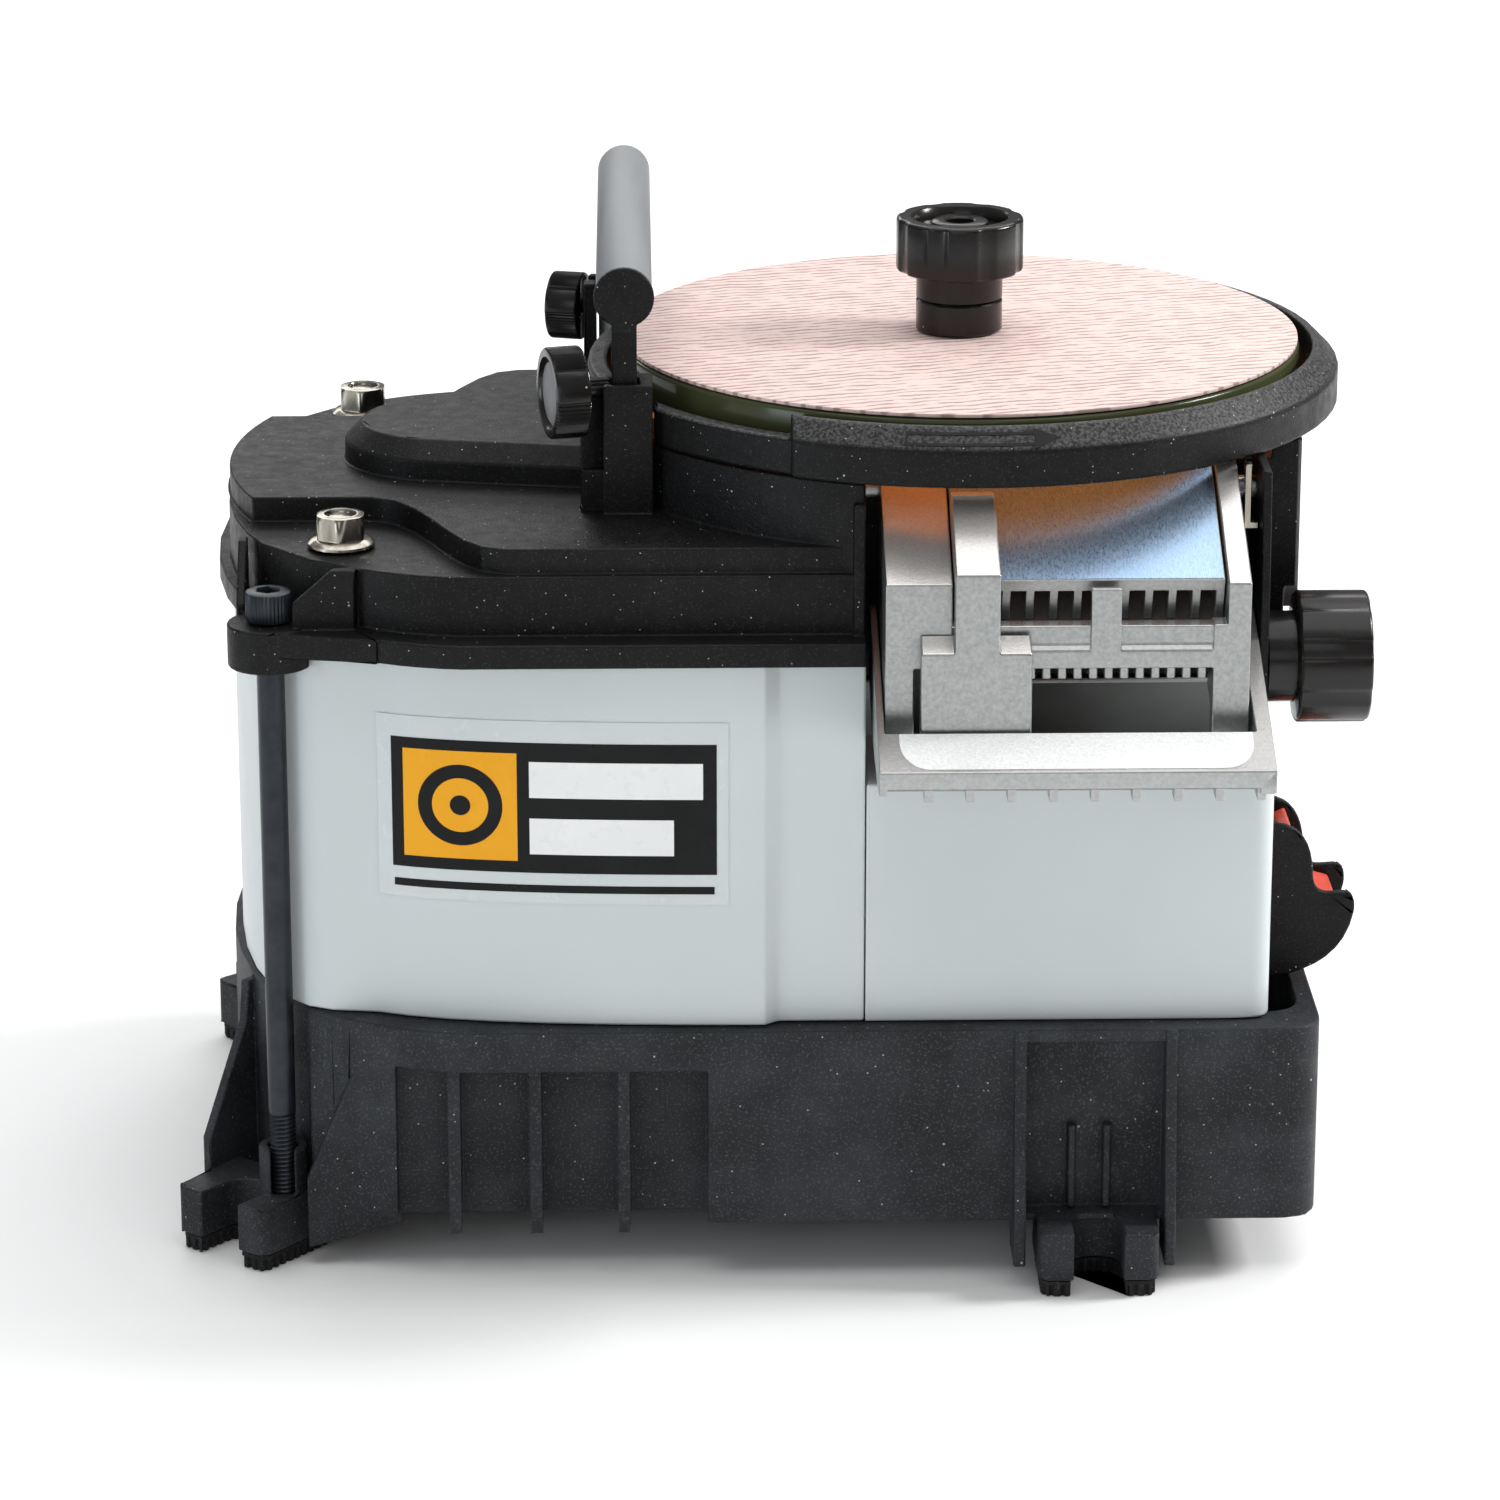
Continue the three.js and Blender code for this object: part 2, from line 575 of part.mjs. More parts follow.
function topCover() {
  const portBay = block(SEAM_X - 0.2, 62.8, -95, PORT_BACK, 100, DRUM_TOP + 1);
  const rimBay = block(62, 95, -95, PORT_BACK, 100, DRUM_TOP + 1);
  const front = frontColumn();
  const rear = rearColumn();
  let cover = cut(coverShell(), tieRoom(1, EAR_TOP), tieRoom(-1, EAR_TOP));
  cover = cut(join(cover, tieWebs(1), tieWebs(-1)), coverHollow());
  cover = join(cover, portLiner(), strut(), front.add, rear.add);
  cover = cut(cover, portBay, rimBay, rod(WELL_RADIUS, WELL_FLOOR, 200, { sides: 64 }));
  cover = cut(cover, front.take, rear.take, rod(24, 150, 180));
  for (const side of [1, -1]) {
    cover = cut(cover, rod(3.4, 130, 160, { x: TIE_X, y: side * TIE_Y, sides: 20 }));
    cover = cut(cover, rod(3.4, 130, 180, { x: NUT_X, y: side * NUT_Y, sides: 20 }));
    cover = cut(cover, rod(5.4, EAR_TOP, 180, { x: TIE_X, y: side * TIE_Y, sides: 28 }));
  }
  const pinHole = rodX(2.8, SEAM_X - 4, SEAM_X + 1, PIVOT.y, PIVOT.z);
  return cut(cover, pinHole, knobRoom(), housingRoom());
}

// The room the white shell's wall takes below the cover.
function housingRoom() {
  return cut(prism(shellOutline(GAP), 100, COVER_LOW), prism(shellOutline(-SHELL_WALL - GAP), 99, COVER_LOW + 1));
}

// ---------------------------------------------------------------- wheel guard
function wheelGuard() {
  const inner = WELL_RADIUS - 0.6;
  const band = turned([[inner, GUARD_LOW], [GUARD_RADIUS, GUARD_LOW], [GUARD_RADIUS, GUARD_EDGE],
    [inner + 1.6, GUARD_TOP], [inner, GUARD_TOP]], { sides: 72 });
  const plain = ring(DRUM_RADIUS, 90, 170, 200, { sides: 72 });
  const crest = ring(70, 90, GUARD_EDGE, 200, { sides: 72 });
  const leftSide = block(-100, GUARD_START, -100, 100, 160, 200);
  const guard = cut(band, join(plain, crest).intersect(leftSide));
  const columnRoom = block(-90, -67.6, -50.6, -38.2, 160, 200);
  const legRoom = rod(REST_RADIUS + GAP, 160, 200, { x: REST_X, y: COLUMN_Y, sides: 28 });
  return cut(guard, columnRoom, legRoom);
}

// ---------------------------------------------------------------- fasteners on the case
function tieBolt(side) {
  const spot = { x: TIE_X, y: side * TIE_Y };
  const head = rod(5, EAR_TOP + GAP, 151, { ...spot, sides: 28 });
  const shank = rod(3, 6.5, EAR_TOP + 1, { ...spot, sides: 20 });
  const socket = rod(2.5, 148, 152, { ...spot, sides: 6 });
  return cut(join(head, shank), socket);
}

function coverNut(side) {
  const spot = { x: NUT_X, y: side * NUT_Y };
  const washer = rod(7.3, LEDGE_TOP + GAP, LEDGE_TOP + 2, { ...spot, sides: 28 });
  const hex = rod(5.8, LEDGE_TOP + 1, LEDGE_TOP + 7.4, { ...spot, sides: 6 });
  const stud = rod(3, PLATE_TOP + GAP, LEDGE_TOP + 6.2, { ...spot, sides: 20 });
  const cup = rod(3.4, LEDGE_TOP + 5.6, LEDGE_TOP + 9, { ...spot, sides: 20 });
  return join(cut(join(washer, hex), cup), stud);
}

// ---------------------------------------------------------------- chassis, motor, spindle housing
function chassisPlate() {
  const outline = shapeOf([[-150, -30], [-141, -63], [-126, -64], [-60, -38], [30, -36], [37, -20],
    [37, 20], [30, 36], [-60, 38], [-126, 64], [-141, 63], [-150, 30]]);
  const plate = prism(outline, PLATE_LOW, PLATE_TOP);
  const screws = SCREW_ANGLES.map((a) => rod(2.4, 120, 140, { ...onMotor(30, a), sides: 16 }));
  return cut(plate, rod(18, 120, 140, { x: MOTOR_X }), rod(22.4, 120, 140), ...screws);
}

const SCREW_ANGLES = [60, 180, 300];

function onMotor(radius, degrees) {
  const angle = THREE.MathUtils.degToRad(degrees);
  return { x: MOTOR_X + radius * Math.cos(angle), y: radius * Math.sin(angle) };
}

function mountScrew(degrees) {
  const spot = { ...onMotor(30, degrees), sides: 16 };
  return join(rod(4, PLATE_TOP + GAP, PLATE_TOP + 3.4, spot), rod(2, 121, PLATE_TOP + 1, spot));
}

const STACK = { low: 64, high: 104 };
const SLOTS = Array.from({ length: 8 }, (_, i) => 45 * i);

function statorCore() {
  const core = ring(24.8, MOTOR_RADIUS, STACK.low, STACK.high, { x: MOTOR_X });
  const holes = SLOTS.map((a) => rod(2.6, 60, 110, { ...onMotor(30, a), sides: 12 }));
  return cut(core, ...holes);
}

function statorWindings() {
  const upper = ring(26.5, 35, STACK.high + 1, STACK.high + 8, { x: MOTOR_X, sides: 32 });
  const lower = ring(26.5, 35, STACK.low - 8, STACK.low - 1, { x: MOTOR_X, sides: 32 });
  const bars = SLOTS.map((a) => rod(2.2, STACK.low - 2, STACK.high + 2, { ...onMotor(30, a), sides: 12 }));
  return join(upper, lower, ...bars);
}

// Both end bells share one profile, measured from the stack outward.
function endBell(face, away) {
  const z = (depth) => face + away * depth;
  const bell = turned([[37, z(0.3)], [MOTOR_RADIUS, z(0.3)], [MOTOR_RADIUS, z(17)], [38, z(19.6)],
    [17.5, z(19.6)], [17.5, z(21.5)], [14.2, z(21.5)], [14.2, z(13)], [9, z(13)], [9, z(11)],
    [18, z(11)], [19.5, z(16.6)], [37, z(16.6)]], { x: MOTOR_X, sides: 28 });
  const vents = [0, 90, 180, 270].map((a) => {
    const spot = onMotor(MOTOR_RADIUS, a);
    return block(spot.x - 5, spot.x + 5, spot.y - 5, spot.y + 5, Math.min(z(3), z(11)), Math.max(z(3), z(11)));
  });
  const screws = SCREW_ANGLES.map((a) => rod(2.3, 118, 130, { ...onMotor(30, a), sides: 12 }));
  return cut(bell, ...vents, ...screws);
}

function ballBearing(low, x, outer, height = 8) {
  return ring(SPINDLE_RADIUS + 0.1, outer, low, low + height, { x, sides: 28 });
}

function motorShaft() {
  return rod(SPINDLE_RADIUS, 29.5, 164, { x: MOTOR_X, sides: 28 });
}

function rotorCore() {
  return ring(SPINDLE_RADIUS + 0.1, 24.2, STACK.low, STACK.high, { x: MOTOR_X });
}

function pulley(pitch, x) {
  const bore = SPINDLE_RADIUS + 0.1;
  const face = pitch - GAP;
  const rim = face + BELT_THICK;
  const low = BELT_LOW;
  const high = BELT_TOP;
  return turned([[bore, low - 1.4], [rim, low - 1.4], [rim, low - GAP], [face, low - GAP],
    [face, high + GAP], [rim, high + GAP], [rim, high + 1.3], [bore, high + 1.3]], { x, sides: 32 });
}

function driveBelt() {
  const outer = prism(beltLoop(MOTOR_PITCH + BELT_THICK - 0.4, SPINDLE_PITCH + BELT_THICK - 0.4), BELT_LOW, BELT_TOP, 20);
  const inner = prism(beltLoop(MOTOR_PITCH, SPINDLE_PITCH), BELT_LOW - 1, BELT_TOP + 1, 20);
  return cut(outer, inner);
}

function coolingFan() {
  const hub = ring(SPINDLE_RADIUS + 0.1, 12, 30.5, 41, { x: MOTOR_X, sides: 24 });
  const disc = ring(10, 33, 30.5, 32.5, { x: MOTOR_X, sides: 32 });
  const blades = SLOTS.map((a) => {
    const blade = new THREE.BoxGeometry(22, 1.6, 9);
    const angle = THREE.MathUtils.degToRad(a);
    const turn = new THREE.Matrix4().makeRotationZ(angle);
    return solid(blade, turn.setPosition(MOTOR_X + 21.5 * Math.cos(angle), 21.5 * Math.sin(angle), 36));
  });
  return join(hub, disc, ...blades);
}

function spindleHousing() {
  const bore = 13;
  const seat = 16.1;
  return turned([[seat, 114], [22, 114], [22, PLATE_TOP + GAP], [34, PLATE_TOP + GAP], [34, 134.6],
    [22, 134.6], [21, 149.6], [seat, 149.6], [seat, 140], [bore, 140], [bore, 124], [seat, 124]], { sides: 32 });
}

function runCapacitor() {
  return join(rodX(17, -62, -8, 48, 84, 32), rodX(4, -66, -61, 48, 84, 16));
}

function capacitorClip() {
  const strap = cut(rodX(19, -42, -30, 48, 84, 32), rodX(17.3, -43, -29, 48, 84, 32));
  const foot = block(-42, -30, 66.4, 77, 82, 86);
  return join(strap.intersect(block(-50, -20, 20, 70, 60, 110)), foot);
}

// ---------------------------------------------------------------- spindle and wheel
const GLASS_TOP = PAPER_TOP - PAPER - GAP;
const GLASS_LOW = GLASS_TOP - GLASS;

function spindleShaft() {
  return rod(SPINDLE_RADIUS, 111, 208);
}

function driveHub() {
  const bore = SPINDLE_RADIUS + 0.1;
  const top = GLASS_LOW - 2 * GAP - PAPER;
  return turned([[bore, 160], [11, 160], [11, top - 3.6], [22, top - 3], [22, top], [bore, top]], { sides: 32 });
}

function wheelDisc(low, high, radius) {
  return ring(SPINDLE_RADIUS + 0.2, radius, low, high, { sides: 64 });
}

function knobCollar() {
  return ring(SPINDLE_RADIUS + 0.2, NECK_RADIUS, PAPER_TOP + GAP, 197.2, { sides: 32 });
}

function flutedOutline(radius) {
  const flutes = 8;
  const steps = 64;
  return shapeOf(Array.from({ length: steps }, (_, i) => {
    const angle = (2 * Math.PI * i) / steps;
    const bite = Math.max(0, Math.cos(flutes * angle) - 0.35);
    const r = radius - 1.1 * bite;
    return [r * Math.cos(angle), r * Math.sin(angle)];
  }));
}

function wheelKnob() {
  const neck = rod(NECK_RADIUS, 197.5, 204);
  const head = prism(flutedOutline(KNOB_RADIUS), 203.6, KNOB_TOP);
  const dish = cut(rod(10.8, KNOB_TOP - 3, KNOB_TOP + 1), rod(6, KNOB_TOP - 4, KNOB_TOP + 2));
  const thread = rod(SPINDLE_RADIUS + 0.2, 190, 209, { sides: 28 });
  return cut(join(neck, head), dish, thread);
}

// ---------------------------------------------------------------- tool rest
function restTube() {
  return rodY(REST_RADIUS, REST_FRONT + 2, REST_REAR, REST_X, REST_Z);
}

function restFrontLeg() {
  const cap = rodY(6.45, REST_FRONT, REST_FRONT + 1.7, REST_X, REST_Z);
  const post = block(REST_X - 2.7, REST_X + 2.7, -48.1, -42.5, 168, 203);
  const tie = block(REST_X - 2.7, REST_X + 2.7, REST_FRONT, -46, 201.7, 203);
  const bridge = block(REST_X - 2.7, REST_X + 2.7, REST_FRONT, REST_FRONT + 1.7, 202, 206);
  return join(cap, post, tie, bridge);
}

function restRearLeg() {
  return rod(5.9, 160, REST_Z - REST_RADIUS - GAP, { x: REST_X, y: COLUMN_Y, sides: 28 });
}

// Clamp knob on a screw that runs through its column's slot; side is -1 in front, 1 behind.
function restKnob(side, radius, near, far, z) {
  const piece = (r, from, to, sides) => {
    const along = new THREE.Matrix4().makeRotationZ(-Math.PI / 2).setPosition((from + to) / 2, 0, z);
    return solid(new THREE.CylinderGeometry(r, r, to - from, sides), knobLine(side).multiply(along));
  };
  const screwFrom = side < 0 ? 3.2 : 6.4;
  return join(piece(radius, near, far, 32), piece(1.6, screwFrom, near + 1, 16));
}

// ---------------------------------------------------------------- tilting port
const SLOPE = Math.tan(TILT);

function platformZ(y, above = 0) {
  return PLATFORM.z + (y - PLATFORM.y) * SLOPE + above;
}

function frameSide(low) {
  const rail = 2.2;
  return shapeOf([[FRAME_FRONT, low], [FRAME_FRONT, platformZ(FRAME_FRONT, rail)],
    [-58.5, platformZ(-58.5, 1.5)], [-50, 174.6], [-46.8, 168], [-49, 150], [-56, 124], [-70, low]]);
}

function portFrame() {
  const leg = 122;
  const beamLow = 140.6;
  const leftRail = slabX(frameSide(leg), FRAME_LEFT, -14).add(
    slabX(frameSide(beamLow), FRAME_LEFT, -6.1));
  const rightRail = slabX(frameSide(leg), 51.2, FRAME_RIGHT);
  const post = shapeOf([[FRAME_FRONT, 142], [FRAME_FRONT, platformZ(FRAME_FRONT, 1.2)],
    [-92.2, platformZ(-92.2, -0.5)], [-92.2, 142]]);
  const centrePost = slabX(post, 22.8, 29);
  const beam = slabX(shapeOf([[FRAME_FRONT, beamLow], [FRAME_FRONT, 144.4], [-93.9, 145.6], [-93.9, 149.6],
    [-89.5, 149.6], [-89.5, beamLow]]), FRAME_LEFT, FRAME_RIGHT);
  const rightLeg = block(48.3, FRAME_RIGHT, FRAME_FRONT, -89.5, leg, 150);
  const bed = slabX(shapeOf([[-92, 143], [-60, platformZ(-60, -18)], [-60, platformZ(-60, -14)],
    [-89.6, platformZ(-89.6, -13.2)], [-92, 148]]), -14, 52);
  const teeth = Array.from({ length: 12 }, (_, i) => block(9.5 + 3.25 * i, 11.3 + 3.25 * i, -93.5, -89.6, 137.9, 141));
  let frame = join(leftRail, rightRail, centrePost, beam, rightLeg, bed, ...teeth);
  frame = cut(frame, rodX(2.7, FRAME_LEFT - 1, -13, PIVOT.y, PIVOT.z), rodX(2.7, 51, 60, PIVOT.y, PIVOT.z));
  return cut(frame, rodX(2.8, 51, 60, CLAMP.y, CLAMP.z));
}

// The ribbed platform, drawn flat with its front edge at the origin and then tilted.
function heatSink() {
  const pitch = 4.95;
  const left = -5.6;
  const right = 50.8;
  const length = 38.5;
  const plate = block(left, right, 0, length, -3, 0);
  const count = 12;
  const first = right - 1.7 - pitch * (count - 1);
  const fins = Array.from({ length: count }, (_, i) => {
    const x = first + pitch * i;
    return block(x, x + 1.7, 0, 32, -10.6, -2.5);
  });
  const tilt = new THREE.Matrix4().makeRotationX(TILT).setPosition(0, PLATFORM.y, PLATFORM.z);
  return join(plate, ...fins).transform(tilt.elements);
}

function trayBar() {
  return shapeOf([[-102, 129], [FRONT_END, 124.2], [FRONT_END, 120.6], [-112.6, 119.8], [-102, 123.6]]);
}

function trayArm() {
  return shapeOf([[FRONT_END, 119.2], [FRONT_END, 124.2], [-102, 129], [-62, 143.5], [-56.5, 143.5],
    [-56.5, 130], [-74, 121.4], [-104, 118]]);
}

function portTray() {
  const left = -21.9;
  const right = 60.2;
  const arms = [slabX(trayArm(), left, left + 1.6), slabX(trayArm(), right - 3.4, right)];
  const bar = slabX(trayBar(), left, right);
  const gussets = [[left, left + 6, 1], [right - 6, right, -1]].map(([low, high]) =>
    block(low, high, -104, -98, 121, 126));
  const tabs = Array.from({ length: 9 }, (_, i) => block(-12.6 + 8.6 * i, -10.8 + 8.6 * i, -113.4, -108, 117.6, 122));
  let tray = join(...arms, bar, ...gussets, ...tabs);
  tray = cut(tray, rodX(2.8, 50, 64, CLAMP.y, CLAMP.z), rodX(2.8, -23, -18, CLAMP.y, CLAMP.z));
  return tray;
}

function pivotPin(low, high) {
  return rodX(2.4, low, high, PIVOT.y, PIVOT.z);
}

function portHanger() {
  const plate = slabX(shapeOf([[-70, 176], [PORT_BACK - 0.4, 176], [PORT_BACK - 0.4, 150],
    [-50, 122], [-56, 118], [-66, 118], [-72, 124], [-72, 150]]), 60.6, 62.4);
  const slots = [-6, -3, 0, 3, 6, 9, 11].map((degrees) => {
    const a = THREE.MathUtils.degToRad(degrees);
    const dy = CLAMP.y - PIVOT.y;
    const dz = CLAMP.z - PIVOT.z;
    return rodX(2.9, 60, 63, PIVOT.y + dy * Math.cos(a) - dz * Math.sin(a),
      PIVOT.z + dy * Math.sin(a) + dz * Math.cos(a));
  });
  return cut(plate, ...slots, rodX(2.8, 60, 63, PIVOT.y, PIVOT.z));
}

function portKnob() {
  const turn = new THREE.Matrix4().makeBasis(
    new THREE.Vector3(0, 1, 0), new THREE.Vector3(0, 0, 1), new THREE.Vector3(1, 0, 0));
  const head = solid(extruded(flutedOutline(KNOB_RADIUS + 0.2), RIGHT_END - 69.2, 1),
    turn.setPosition(69.2, CLAMP.y, CLAMP.z));
  const neck = rodX(NECK_RADIUS + 0.3, 62.7, 70, CLAMP.y, CLAMP.z, 32);
  const screw = rodX(2.5, 51.6, 64, CLAMP.y, CLAMP.z, 20);
  return join(head, neck, screw);
}

function chiselFence() {
  const front = -101;
  const barLeft = -5.8;
  const barRight = 3.5;
  const block1 = slabX(shapeOf([[front, 126], [front, 145.7], [-95.4, 148.3], [-95.4, 126]]), -12.8, 10.2);
  const tongue = block(-9, 7, -95.6, -88.6, 127.2, 137.4);
  const top = 8.7;
  const arm = slabX(shapeOf([[front, 140], [front, platformZ(front, top)], [-78, platformZ(-78, top)], [-73.5, platformZ(-73.5, 6.4)],
    [-73.5, platformZ(-73.5, 1.9)], [-95.4, platformZ(-95.4, 1.9)], [-95.4, 140]]), barLeft, barRight);
  return join(block1, tongue, arm);
}

function detentSpring() {
  const strip = slabX(shapeOf([[-64, 175.9], [-60.4, 175.9], [-60.4, 163], [-64, 163]]), 57.4, 58.8);
  const toe = block(57.4, 60.3, -64, -60.4, 162, 163.4);
  return join(strip, toe);
}

// ---------------------------------------------------------------- switch
function cheekOutline() {
  const shape = new THREE.Shape();
  shape.moveTo(64.4, 58);
  shape.lineTo(64.4, 93.4);
  shape.lineTo(67, 93.6);
  shape.quadraticCurveTo(75, 92.5, 75.2, 82);
  shape.quadraticCurveTo(75.4, 77.4, 79, 77.6);
  shape.lineTo(82, 77.8);
  shape.quadraticCurveTo(85, 77.6, 84.4, 73);
  shape.quadraticCurveTo(82, 60, 66, 58);
  shape.closePath();
  return shape;
}

function switchHousing() {
  const half = 10.6;
  const whole = slabY(cheekOutline(), SWITCH_Y - half, SWITCH_Y + half);
  const gap = block(67, 90, SWITCH_Y - half + 2.2, SWITCH_Y + half - 2.2, 50, 100);
  const socket = block(60, 70, SWITCH_Y - 7, SWITCH_Y + 7, 64, 92);
  const boss = cut(block(58, 65, SWITCH_Y - 8.8, SWITCH_Y + 8.8, 62, 94), block(50, 70, SWITCH_Y - 7, SWITCH_Y + 7, 64, 92));
  return cut(join(cut(whole, gap), boss), socket);
}

function powerPaddle() {
  const outline = shapeOf([[71.2, 66], [67.7, 79], [67.7, 90], [70.6, 91.4], [72.6, 84], [73.4, 77.6],
    [80.6, 75.6], [81.4, 72.6], [76, 68]]);
  return slabY(outline, SWITCH_Y - 8, SWITCH_Y + 8);
}

function switchModule() {
  return join(block(40, 61, SWITCH_Y - 6.6, SWITCH_Y + 6.6, 64.5, 91.5), block(35, 41, SWITCH_Y - 4, SWITCH_Y + 4, 70, 72),
    block(35, 41, SWITCH_Y - 4, SWITCH_Y + 4, 82, 84));
}

// ---------------------------------------------------------------- assembly
function buildCase() {
  part('base_tub', baseTub(), charcoal);
  for (const foot of FEET) part(foot.name, footPad(foot), rubber);
  part('motor_housing', motorHousing(), whiteCase);
  part('port_panel', portPanel(), whiteCase);
  part('top_cover', topCover(), blackCase);
  part('wheel_guard', wheelGuard(), blackCase);
  part('label_plate', labelPlate(), label);
  part('cord_gland', cordGland(), rubber);
  part('tie_bolt_front', tieBolt(-1), blackOxide);
  part('tie_bolt_rear', tieBolt(1), blackOxide);
  part('cover_nut_front', coverNut(-1), zinc);
  part('cover_nut_rear', coverNut(1), zinc);
}

function buildDrive() {
  part('chassis_plate', chassisPlate(), castIron);
  SCREW_ANGLES.forEach((a, i) => part(`motor_screw_${i + 1}`, mountScrew(a), zinc));
  part('stator_core', statorCore(), laminations);
  part('stator_windings', statorWindings(), copper);
  part('end_bell_upper', endBell(STACK.high, 1), castAlloy);
  part('end_bell_lower', endBell(STACK.low, -1), castAlloy);
  part('motor_bearing_upper', ballBearing(117.3, MOTOR_X, 14), steel);
  part('motor_bearing_lower', ballBearing(42.7, MOTOR_X, 14), steel);
  part('motor_shaft', motorShaft(), steel);
  part('rotor_core', rotorCore(), laminations);
  part('motor_pulley', pulley(MOTOR_PITCH, MOTOR_X), castAlloy);
  part('cooling_fan', coolingFan(), blackCase);
  part('drive_belt', driveBelt(), beltRubber);
  part('run_capacitor', runCapacitor(), canAlloy);
  part('capacitor_clip', capacitorClip(), steel);
  part('spindle_housing', spindleHousing(), castIron);
  part('spindle_bearing_lower', ballBearing(114.6, 0, 16, 9), steel);
  part('spindle_bearing_upper', ballBearing(140.3, 0, 16, 9), steel);
  part('spindle_shaft', spindleShaft(), steel);
  part('spindle_pulley', pulley(SPINDLE_PITCH, 0), castAlloy);
  part('drive_hub', driveHub(), castAlloy);
}

function buildWheel() {
  part('glass_wheel', wheelDisc(GLASS_LOW, GLASS_TOP, WHEEL_RADIUS), glass);
  part('abrasive_top', wheelDisc(PAPER_TOP - PAPER, PAPER_TOP, WHEEL_RADIUS - 0.4), pinkPaper);
  part('abrasive_bottom', wheelDisc(GLASS_LOW - GAP - PAPER, GLASS_LOW - GAP, WHEEL_RADIUS - 0.4), orangePaper);
  part('knob_collar', knobCollar(), blackKnob);
  part('wheel_knob', wheelKnob(), blackKnob);
}

function buildRest() {
  part('rest_tube', restTube(), greyTube);
  part('rest_front_leg', restFrontLeg(), blackCase);
  part('rest_rear_leg', restRearLeg(), greyTube);
  part('rest_front_knob', restKnob(-1, 9.8, 9.4, 17, 188.6), blackKnob);
  part('rest_rear_knob', restKnob(1, 7.7, 9.4, 17, 184.2), blackKnob);
}

function buildPort() {
  part('port_frame', portFrame(), castAlloy);
  part('heat_sink', heatSink(), brightAlloy);
  part('port_tray', portTray(), brightAlloy);
  part('pivot_pin_left', pivotPin(SEAM_X - 2.4, -14), steel);
  part('pivot_pin_right', pivotPin(51.4, 62.3), steel);
  part('port_hanger', portHanger(), blackCase);
  part('port_knob', portKnob(), blackKnob);
  part('chisel_fence', chiselFence(), castAlloy);
  part('detent_spring', detentSpring(), zinc);
}

function buildSwitch() {
  part('switch_housing', switchHousing(), blackCase);
  part('switch_module', switchModule(), nylon);
  part('power_paddle', powerPaddle(), redPlastic);
}

buildCase();
buildDrive();
buildWheel();
buildRest();
buildPort();
buildSwitch();
machine.position.copy(SPINDLE);

const sharpener = new THREE.Group();
sharpener.add(machine);
export default sharpener;
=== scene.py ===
"""Looks of the disc sharpener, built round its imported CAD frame."""
import json
import math

import bmesh
import bpy
from mathutils import Matrix, Vector


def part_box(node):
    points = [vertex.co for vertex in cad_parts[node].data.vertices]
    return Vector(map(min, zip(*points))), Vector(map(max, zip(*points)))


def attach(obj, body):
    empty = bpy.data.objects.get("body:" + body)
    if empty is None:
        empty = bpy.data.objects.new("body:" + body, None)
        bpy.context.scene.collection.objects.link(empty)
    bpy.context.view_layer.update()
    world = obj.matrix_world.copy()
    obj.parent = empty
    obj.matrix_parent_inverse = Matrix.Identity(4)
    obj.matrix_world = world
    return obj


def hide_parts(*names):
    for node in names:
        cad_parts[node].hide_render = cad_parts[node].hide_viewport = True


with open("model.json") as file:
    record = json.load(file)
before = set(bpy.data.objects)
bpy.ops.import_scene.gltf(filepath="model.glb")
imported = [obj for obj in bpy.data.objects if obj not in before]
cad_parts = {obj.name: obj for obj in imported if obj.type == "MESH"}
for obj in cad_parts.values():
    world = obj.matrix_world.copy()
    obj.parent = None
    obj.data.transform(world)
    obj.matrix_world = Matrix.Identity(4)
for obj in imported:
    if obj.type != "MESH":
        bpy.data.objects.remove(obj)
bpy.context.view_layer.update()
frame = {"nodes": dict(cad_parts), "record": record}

MM = 0.001
SPINDLE = Vector((43.8, 8.0, 0.0))
NODES = frame["nodes"]
BODY_OF = {n: b for b, members in frame["record"]["behaviour"]["bodies"].items() for n in members}
SLOT_OF = {row["node"]: row["material_slot"] for row in frame["record"]["subparts"]}

# ---------------------------------------------------------------- sizes and places
# In millimetres, from the point on the bench that is under the spindle.
WHEEL_RADIUS, PAPER_RADIUS, WHEEL_BORE = 75.0, 74.6, 6.25
GLASS_LOW, GLASS_TOP = 179.3, 188.9
TOP_PAPER_LOW, TOP_PAPER_TOP = 189.2, 190.0
UNDER_PAPER_LOW, UNDER_PAPER_TOP = 178.2, 179.0
COLLAR_LOW, COLLAR_TOP, COLLAR_BORE = 190.35, 197.25, 6.3
KNOB_NECK_LOW, KNOB_LOW, KNOB_TOP = 197.6, 203.6, 215.6
KNOB_RADIUS = 14.0
NECK_RADIUS = 9.5
PORT_KNOB_NECK, PORT_KNOB_LOW, PORT_KNOB_TOP = 62.8, 69.2, 84.8
PORT_KNOB_Y, PORT_KNOB_Z = -60.0, 132.4
BOLT_X, BOLT_Y, BOLT_RADIUS = -149.4, 68.0, 2.98
BOLT_FOOT, BOLT_THREAD_TOP, BOLT_SEAT, BOLT_TOP = 6.5, 33.0, 144.2, 150.7
BOLT_SIDES, HEAD_SIDES = 28, 144
NUT_SEAT, NUT_CORNER = 156.85, 5.75
STUD_LOW, STUD_TOP = 131.0, 163.5
THREAD_PITCH, THREAD_DEPTH = 1.0, 0.55
REST_X, REST_Z, REST_RADIUS = -73.9, 209.4, 6.0
REST_FRONT, REST_REAR = -50.5, 80.0
CLAMP_Y, CLAMP_NEAR, CLAMP_FAR = 45.3, 9.5, 17.0
CLAMP_LEAN = math.radians(15)
FRONT_CLAMP_RADIUS, FRONT_CLAMP_Z = 9.8, 188.6
REAR_CLAMP_RADIUS, REAR_CLAMP_Z = 7.7, 184.2
PLATFORM_TILT = math.radians(25)
